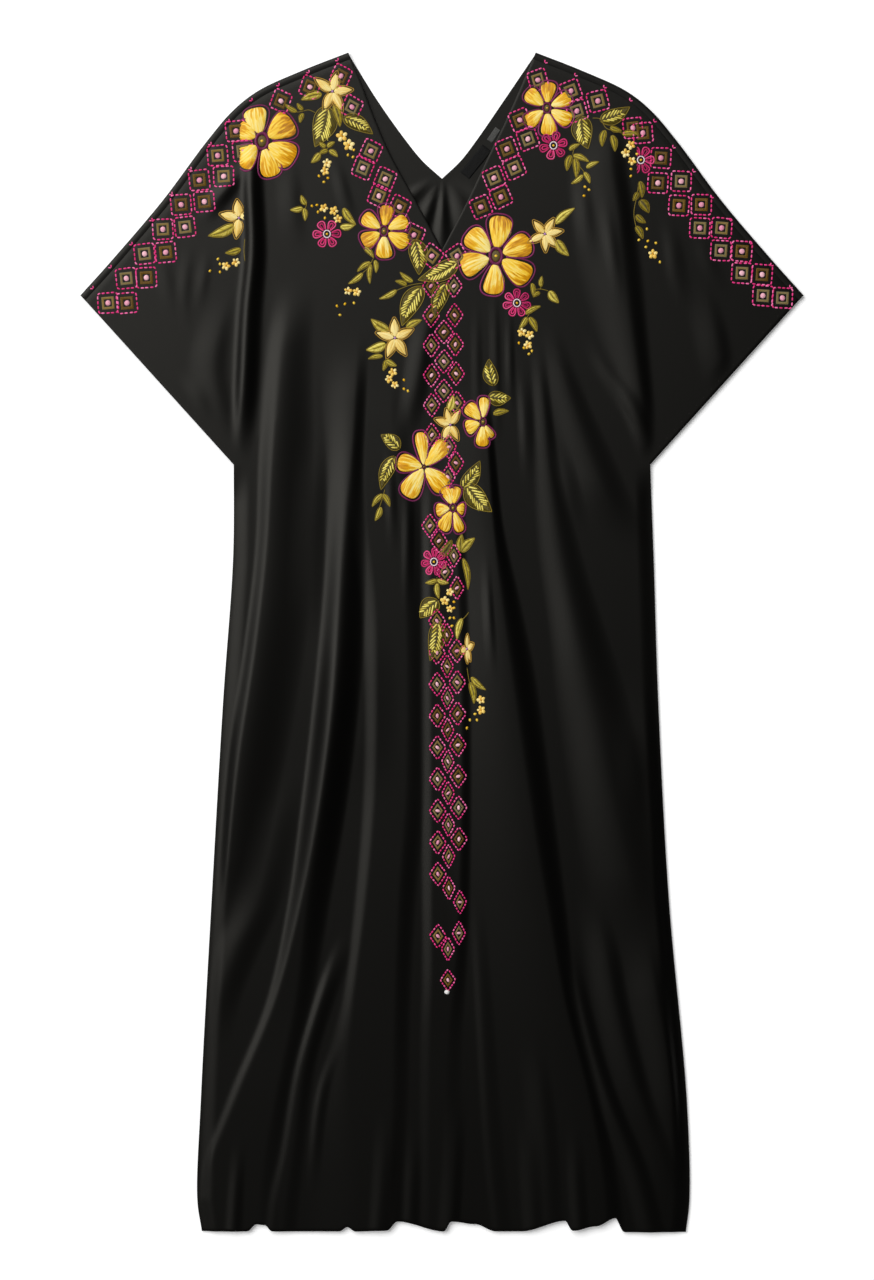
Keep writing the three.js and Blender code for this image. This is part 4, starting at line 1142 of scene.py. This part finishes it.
# Leaves in two greens, from a middle vein outwards as fishbone stitch, with an olive line round each,
# and thin stems of the same olive thread.
LEAF_RISE = 1.2
BROAD_LEAF = 12
VEIN_PITCH = 4.2
VEIN_WIDTH = 2.3
VEIN_RISE = 1.8
VEIN_SPAN = (0.06, 0.74)
VEIN_END = 0.94
LEAF_ROWS = 15
LEAF_COLUMNS = 11
LEAF_BEND = 0.06
LEAF_SLANT = 1.1
LEAF_CORD = 1.1
LEAF_GAP = 0.6
STEM_CORD = 1.0
Leaf = namedtuple("Leaf", "foot tip width shade shown", defaults=[EVERYWHERE])
LEAVES = [
    # foot, tip, width, shade
    ((328, 106), (315, 147), 26, 0.62), ((322, 94), (301, 100), 9, 0.5), ((334, 104), (340, 127), 8.5, 0.4),
    ((343, 117), (373, 134), 16, 0.5), ((415, 239), (419, 275), 20, 0.5),
    ((447, 282), (435, 318), 17, 0.35), ((459, 261), (418, 280), 19, 0.68),
    ((422, 286), (402, 326), 21, 0.62), ((581, 116), (588, 149), 22, 0.5),
    ((600, 121), (630, 107), 16, 0.45), ((494, 386), (489, 359), 15, 0.42),
    ((488, 397), (511, 398), 15, 0.42), ((493, 414), (509, 411), 6, 0.45),
    ((400, 449), (381, 435), 15, 0.4), ((395, 456), (381, 490), 15, 0.5),
    ((462, 489), (480, 461), 16, 0.42), ((466, 485), (492, 512), 22, 0.55),
    ((438, 600), (420, 618), 19, 0.55), ((438, 621), (430, 661), 18, 0.45),
    ((441, 556), (452, 540), 10, 0.25), ((461, 552), (475, 538), 9, 0.5), ((461, 552), (462, 534), 8, 0.45),
    ((463, 558), (468, 590), 5.5, 0.45), ((462, 618), (457, 640), 6, 0.6),
    ((389, 331), (371, 319), 9.5, 0.5), ((386, 344), (366, 350), 9.5, 0.6),
    ((383, 356), (368, 359), 4.5, 0.5), ((406, 328), (422, 320), 7, 0.5),
    ((386, 360), (397, 366), 5.5, 0.5), ((386, 360), (383, 371), 4.5, 0.45),
    ((555, 224), (575, 208), 7.5, 0.6), ((556, 240), (569, 256), 9.5, 0.5),
    ((449, 411), (453, 395), 8.5, 0.6), ((235, 225), (208, 236), 11, 0.5, LEFT_OF_LEFT_FOLD),
    ((241, 249), (225, 253), 6.5, 0.45, LEFT_OF_LEFT_FOLD), ((297, 112), (285, 104), 4.5, 0.45),
    ((303, 110), (297, 103), 4, 0.45), ((303, 113), (300, 123), 4.5, 0.45),
    ((326, 147), (319, 142), 4, 0.5), ((327, 147), (335, 142), 4.5, 0.5), ((329, 150), (338, 157), 5, 0.5),
    ((328, 150), (319, 154), 4.5, 0.45), ((320, 153), (311, 163), 6.5, 0.5),
    ((306, 205), (301, 195), 5, 0.5), ((303, 208), (290, 210), 5.5, 0.55), ((304, 208), (305, 221), 5, 0.5),
    ((343, 208), (356, 225), 7, 0.5), ((340, 227), (355, 225), 6.5, 0.6), ((364, 247), (374, 258), 5, 0.5),
    ((375, 260), (376, 273), 4.5, 0.5), ((371, 264), (370, 284), 4.5, 0.5),
    ((371, 262), (357, 272), 5, 0.5), ((363, 273), (348, 284), 5, 0.55), ((413, 282), (400, 272), 5, 0.5),
    ((407, 285), (395, 281), 4.5, 0.45), ((397, 290), (379, 299), 5, 0.55),
    ((383, 494), (372, 507), 5, 0.5), ((383, 494), (390, 507), 5, 0.45), ((381, 507), (375, 521), 5.5, 0.5),
    ((605, 130), (602, 147), 6.5, 0.42), ((612, 135), (615, 152), 6.5, 0.42),
    ((610, 127), (622, 131), 5.5, 0.42), ((622, 134), (639, 134), 6, 0.45),
    ((569, 150), (580, 144), 4.5, 0.5), ((571, 155), (567, 171), 6.5, 0.42),
    ((573, 155), (589, 162), 5.5, 0.5), ((575, 158), (576, 178), 6.5, 0.42),
    ((586, 168), (599, 162), 4.5, 0.55), ((583, 175), (571, 184), 4.5, 0.55),
    ((584, 172), (590, 184), 4.5, 0.5), ((541, 287), (542, 276), 4, 0.5),
    ((532, 283), (533, 296), 4.5, 0.45), ((540, 292), (533, 297), 4, 0.45),
    ((549, 291), (559, 303), 8, 0.55), ((525, 314), (541, 306), 5, 0.5), ((527, 317), (519, 329), 5, 0.5),
    ((529, 317), (537, 332), 6, 0.45), ((640, 181), (642, 198), 6, 0.35, RIGHT_OF_RIGHT_FOLD),
    ((638, 192), (633, 201), 5, 0.35), ((640, 200), (649, 213), 9, 0.3, RIGHT_OF_RIGHT_FOLD),
    ((636, 215), (646, 223), 6, 0.35), ((636, 226), (643, 239), 6, 0.35),
    ((437, 580), (425, 583), 4.5, 0.5), ((437, 580), (449, 583), 5, 0.55),
    ((437, 583), (439, 599), 5, 0.55), ((471, 677), (486, 690), 5.5, 0.5),
    ((470, 682), (474, 704), 6, 0.45),
]
STEMS = [
    # places that each stem passes through
    [(304, 111), (297, 112), (288, 109), (284, 103)], [(316, 113), (309, 110), (303, 111)],
    [(330, 141), (328, 148), (321, 153), (314, 155)], [(307, 204), (304, 210), (296, 211)],
    [(374, 257), (368, 268), (352, 281)], [(424, 283), (411, 285), (400, 289), (384, 297)],
    [(385, 489), (383, 497), (378, 512)], [(592, 118), (600, 119), (606, 128), (614, 131), (626, 134)],
    [(578, 143), (573, 153), (577, 163), (584, 172), (587, 179)], [(534, 290), (540, 289), (549, 291)],
    [(543, 277), (541, 287), (540, 290)], [(541, 307), (530, 313), (527, 318)],
    [(639, 181), (637, 196), (634, 212), (636, 226), (642, 239)], [(437, 577), (437, 583), (438, 590)],
    [(467, 667), (469, 680), (473, 696)], [(245, 238), (244, 250), (245, 262)],
    [(469, 612), (466, 616), (462, 620)], [(386, 356), (385, 363), (383, 369)],
]
leaves = Stitching()
lines = Stitching()
for leaf in itertools.starmap(Leaf, LEAVES):
    foot = np.array(on_garment(*leaf.foot))
    tip = np.array(on_garment(*leaf.tip))
    length = math.dist(foot, tip)
    turn = math.degrees(math.atan2(*(tip - foot)[::-1]))
    leaves.shown = lines.shown = leaf.shown
    share = np.linspace(0, 1, LEAF_ROWS)
    across = np.linspace(-1, 1, LEAF_COLUMNS)
    half = np.sin(math.pi * share ** 0.7) ** 0.95 * leaf.width / 2
    # Leaves that lie close together bend different ways
    bend = LEAF_BEND * length * np.sin(math.pi * share) * (1 if turn % 2 < 1 else -1)
    local = np.dstack([np.repeat((share * length)[:, None], len(across), 1),
                       half[:, None] * across[None] + bend[:, None]])
    lift = (1 - np.abs(across) ** 3)[None] * (0.72 + 0.28 * np.minimum(1, 3 * np.abs(across)))[None]
    height = THREAD_SINK + (LEAF_RISE - THREAD_SINK) * lift * np.sin(math.pi * share[:, None]) ** 0.3
    slant = local[..., 0] - np.abs(half[:, None] * across[None]) * LEAF_SLANT
    threads = np.dstack([slant, half[:, None] * across[None] * 1.5 + length])
    broad = leaf.width > BROAD_LEAF
    tone = leaf.shade * (0.3 if broad else 1.5) - (0 if broad else 0.5) * smooth(1 - 3 * np.abs(across))[None]
    leaves.patch(laid(local, *foot, turn), height, threads, tone)
    veins = np.arange(*VEIN_SPAN, VEIN_PITCH / length) if broad else []
    for start in veins:
        for side in (-1, 1):
            reach = np.interp(start + 0.12, share, half) * dice.uniform(0.65, 0.9)
            middle = np.interp(start, share, bend)
            forward = np.linspace(start * length, min(start * length + 1.5 * reach, VEIN_END * length), 5)
            vein = np.column_stack([forward, middle + side * np.linspace(0.2, reach, 5)])
            tone = 0.4 + leaf.shade + dice.uniform(-0.2, 0.2)
            leaves.cord(laid(vein, *foot, turn), VEIN_WIDTH, VEIN_RISE, tone)
    beside = half + LEAF_GAP * np.sin(math.pi * share) ** 0.5
    edge = np.vstack([np.column_stack([share * length, beside + bend]),
                      np.column_stack([share * length, bend - beside])[-2::-1]])
    edge = along(laid(edge, *foot, turn), np.linspace(0, 1, 3 + int(length * 1.6)))
    lines.cord(edge, LEAF_CORD * min(1, 0.5 + leaf.width / 20), 0.9, leaf.shade)
lines.shown = EVERYWHERE
for stem in STEMS:
    path = smooth_line(np.array([on_garment(*place) for place in stem]), steps=6)
    lines.cord(path, STEM_CORD, 0.6, 0.35)
leaf_thread = thread("leaf_green_thread", [(50, 42, 6), (100, 86, 14), (172, 152, 36), (246, 230, 116)],
                     streaks=0.35, grain=(0.55, 0.06))
olive_thread = thread("olive_thread", [(96, 80, 16), (160, 138, 40)], streaks=0.25)
stitched("leaves", leaves, leaf_thread)
stitched("leaf_lines_and_stems", lines, olive_thread)

# Small pale blossoms of five round petals, and loose knots in yellow near them. A small white bead is
# sewn on under the last square.
Blossom = namedtuple("Blossom", "place petal")
BLOSSOMS = [
    Blossom((342, 136), 6.2), Blossom((349, 145), 6.2), Blossom((327, 163), 5), Blossom((325, 171), 4.8),
    Blossom((324, 208), 4.8), Blossom((334, 211), 5), Blossom((338, 219), 4.8), Blossom((348, 291), 4.6),
    Blossom((357, 292), 4.6), Blossom((226, 266), 4.6), Blossom((236, 262), 4.8), Blossom((393, 372), 4.6),
    Blossom((389, 379), 4.4), Blossom((395, 385), 4.2), Blossom((522, 332), 5), Blossom((530, 335), 4.8),
    Blossom((528, 345), 4.6), Blossom((631, 145), 5), Blossom((626, 153), 5), Blossom((632, 161), 4.6),
    Blossom((653, 254), 5.2), Blossom((445, 601), 5), Blossom((450, 592), 4.2), Blossom((450, 609), 4),
    Blossom((481, 700), 4.6), Blossom((481, 710), 4.6),
]
LOOSE_KNOTS = [
    (354, 150), (348, 155), (353, 157), (319, 176), (328, 178), (324, 182), (312, 206), (317, 205),
    (318, 212), (325, 218), (337, 306), (345, 304), (354, 303), (340, 315), (218, 259), (220, 264),
    (210, 271), (220, 272), (404, 380), (404, 389), (408, 391), (519, 343), (524, 348), (532, 351),
    (529, 354), (637, 154), (635, 162), (631, 169), (631, 176), (585, 187), (589, 190), (584, 196),
    (647, 229), (639, 240), (648, 241), (656, 243), (646, 247), (660, 262), (454, 602), (454, 608),
    (454, 618), (450, 618), (452, 626), (475, 714), (470, 720), (477, 720), (467, 728),
]
KNOT = (2.9, 3.7, 1.7)
BEAD_PLACE = (447, 992)
BEAD = (5.4, 6.2, 2.6)
blossoms = Stitching()
knots.shown = EVERYWHERE
for blossom in BLOSSOMS:
    x, y = on_garment(*blossom.place)
    first = dice.uniform(0, 72)
    for k in range(5):
        angle = math.radians(first + 72 * k)
        out = blossom.petal * 0.62
        petal_size = blossom.petal * dice.uniform(0.8, 1.15)
        blossoms.dome(x + out * math.cos(angle), y + out * math.sin(angle), petal_size * 0.8,
                      petal_size, 1.2, dice.uniform(0.3, 1.0), math.degrees(angle), rings=3)
    knots.dome(x, y, blossom.petal * 0.4, blossom.petal * 0.45, 1.6, 0.15)
for place in LOOSE_KNOTS:
    x, y = on_garment(*place)
    width, length, rise = KNOT
    knots.dome(x, y, width, length, rise, dice.uniform(0.4, 0.9), dice.uniform(0, 180), rings=3)
stitched("blossoms", blossoms, thread("cream_thread", [(222, 158, 40), (246, 208, 100), (253, 236, 168)]))
stitched("knots", knots, yellow_thread)
bead = Stitching()
bead.dome(*on_garment(*BEAD_PLACE), *BEAD, 0.8, rings=6, spokes=18)
pearl, _, _ = new_material("white_glass_bead", 0.15, Base_Color=(0.85, 0.84, 0.82, 1.0), Coat_Weight=0.6)
stitched("bead", bead, pearl)

# A plain woven label and a small plain size tab, sewn inside the back beside its neck edge. Each is a
# narrow tape with woven edges and its two ends turned under, held by a few stitches.
Tape = namedtuple("Tape", "node x y length width turn rise")
TAPES = [
    Tape("neck_label", 38, 538, 40, 13, 51, 0.9),
    Tape("size_tab", 58, 568, 17, 7, 56, 0.9),
]


def woven_tape(name, dark, light, roughness):
    """A close flat weave in two shades of one colour"""
    material, tree, shader = new_material(name, roughness, Specular_IOR_Level=0.15)
    strands = new_node(tree, "UVMap")
    strands.uv_map = "threads"
    weave = new_node(tree, "TexBrick", Vector=strands.outputs["UV"], Scale=1.0, Brick_Width=0.9,
                     Row_Height=0.35, Mortar_Size=0.06, Color1=(*light, 1.0),
                     Color2=(*(0.8 * part for part in light), 1.0), Mortar=(*dark, 1.0))
    raised = new_node(tree, "Bump", Height=weave.outputs["Fac"], Strength=0.4, Distance=0.00015)
    fill(tree, shader, Base_Color=weave.outputs["Color"], Normal=raised.outputs["Normal"])
    return material


black_tape = woven_tape("black_woven_tape", (0.0005, 0.0005, 0.0005), (0.0025, 0.0023, 0.002), 0.6)
grey_tape = woven_tape("grey_woven_tape", (0.04, 0.04, 0.037), (0.1, 0.1, 0.095), 0.75)
tape_finish = {"neck_label": ("woven_label", black_tape), "size_tab": ("woven_tab", grey_tape)}
for tape in TAPES:
    label = Stitching()
    share = np.linspace(-1, 1, 25)
    across = np.concatenate([[-1.0], np.linspace(-0.97, 0.97, 11), [1.0]])
    local = np.dstack([np.repeat((share * tape.length / 2)[:, None], len(across), 1),
                       np.repeat((across * tape.width / 2)[None], len(share), 0)])
    from_end = (1 - np.abs(share))[:, None] * tape.length / 2
    from_side = (1 - np.abs(across))[None] * tape.width / 2
    edge = np.minimum(from_end, from_side)
    rise = tape.rise * smooth(edge / 0.35 + 0.15) + 0.12 * np.cos(share * 5)[:, None]
    label.patch(laid(local, tape.x, tape.y, tape.turn), rise, local, 0.5)
    slot, finish = tape_finish[tape.node]
    piece = stitched(tape.node + "_tape", label, finish, back_height)
    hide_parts(tape.node)
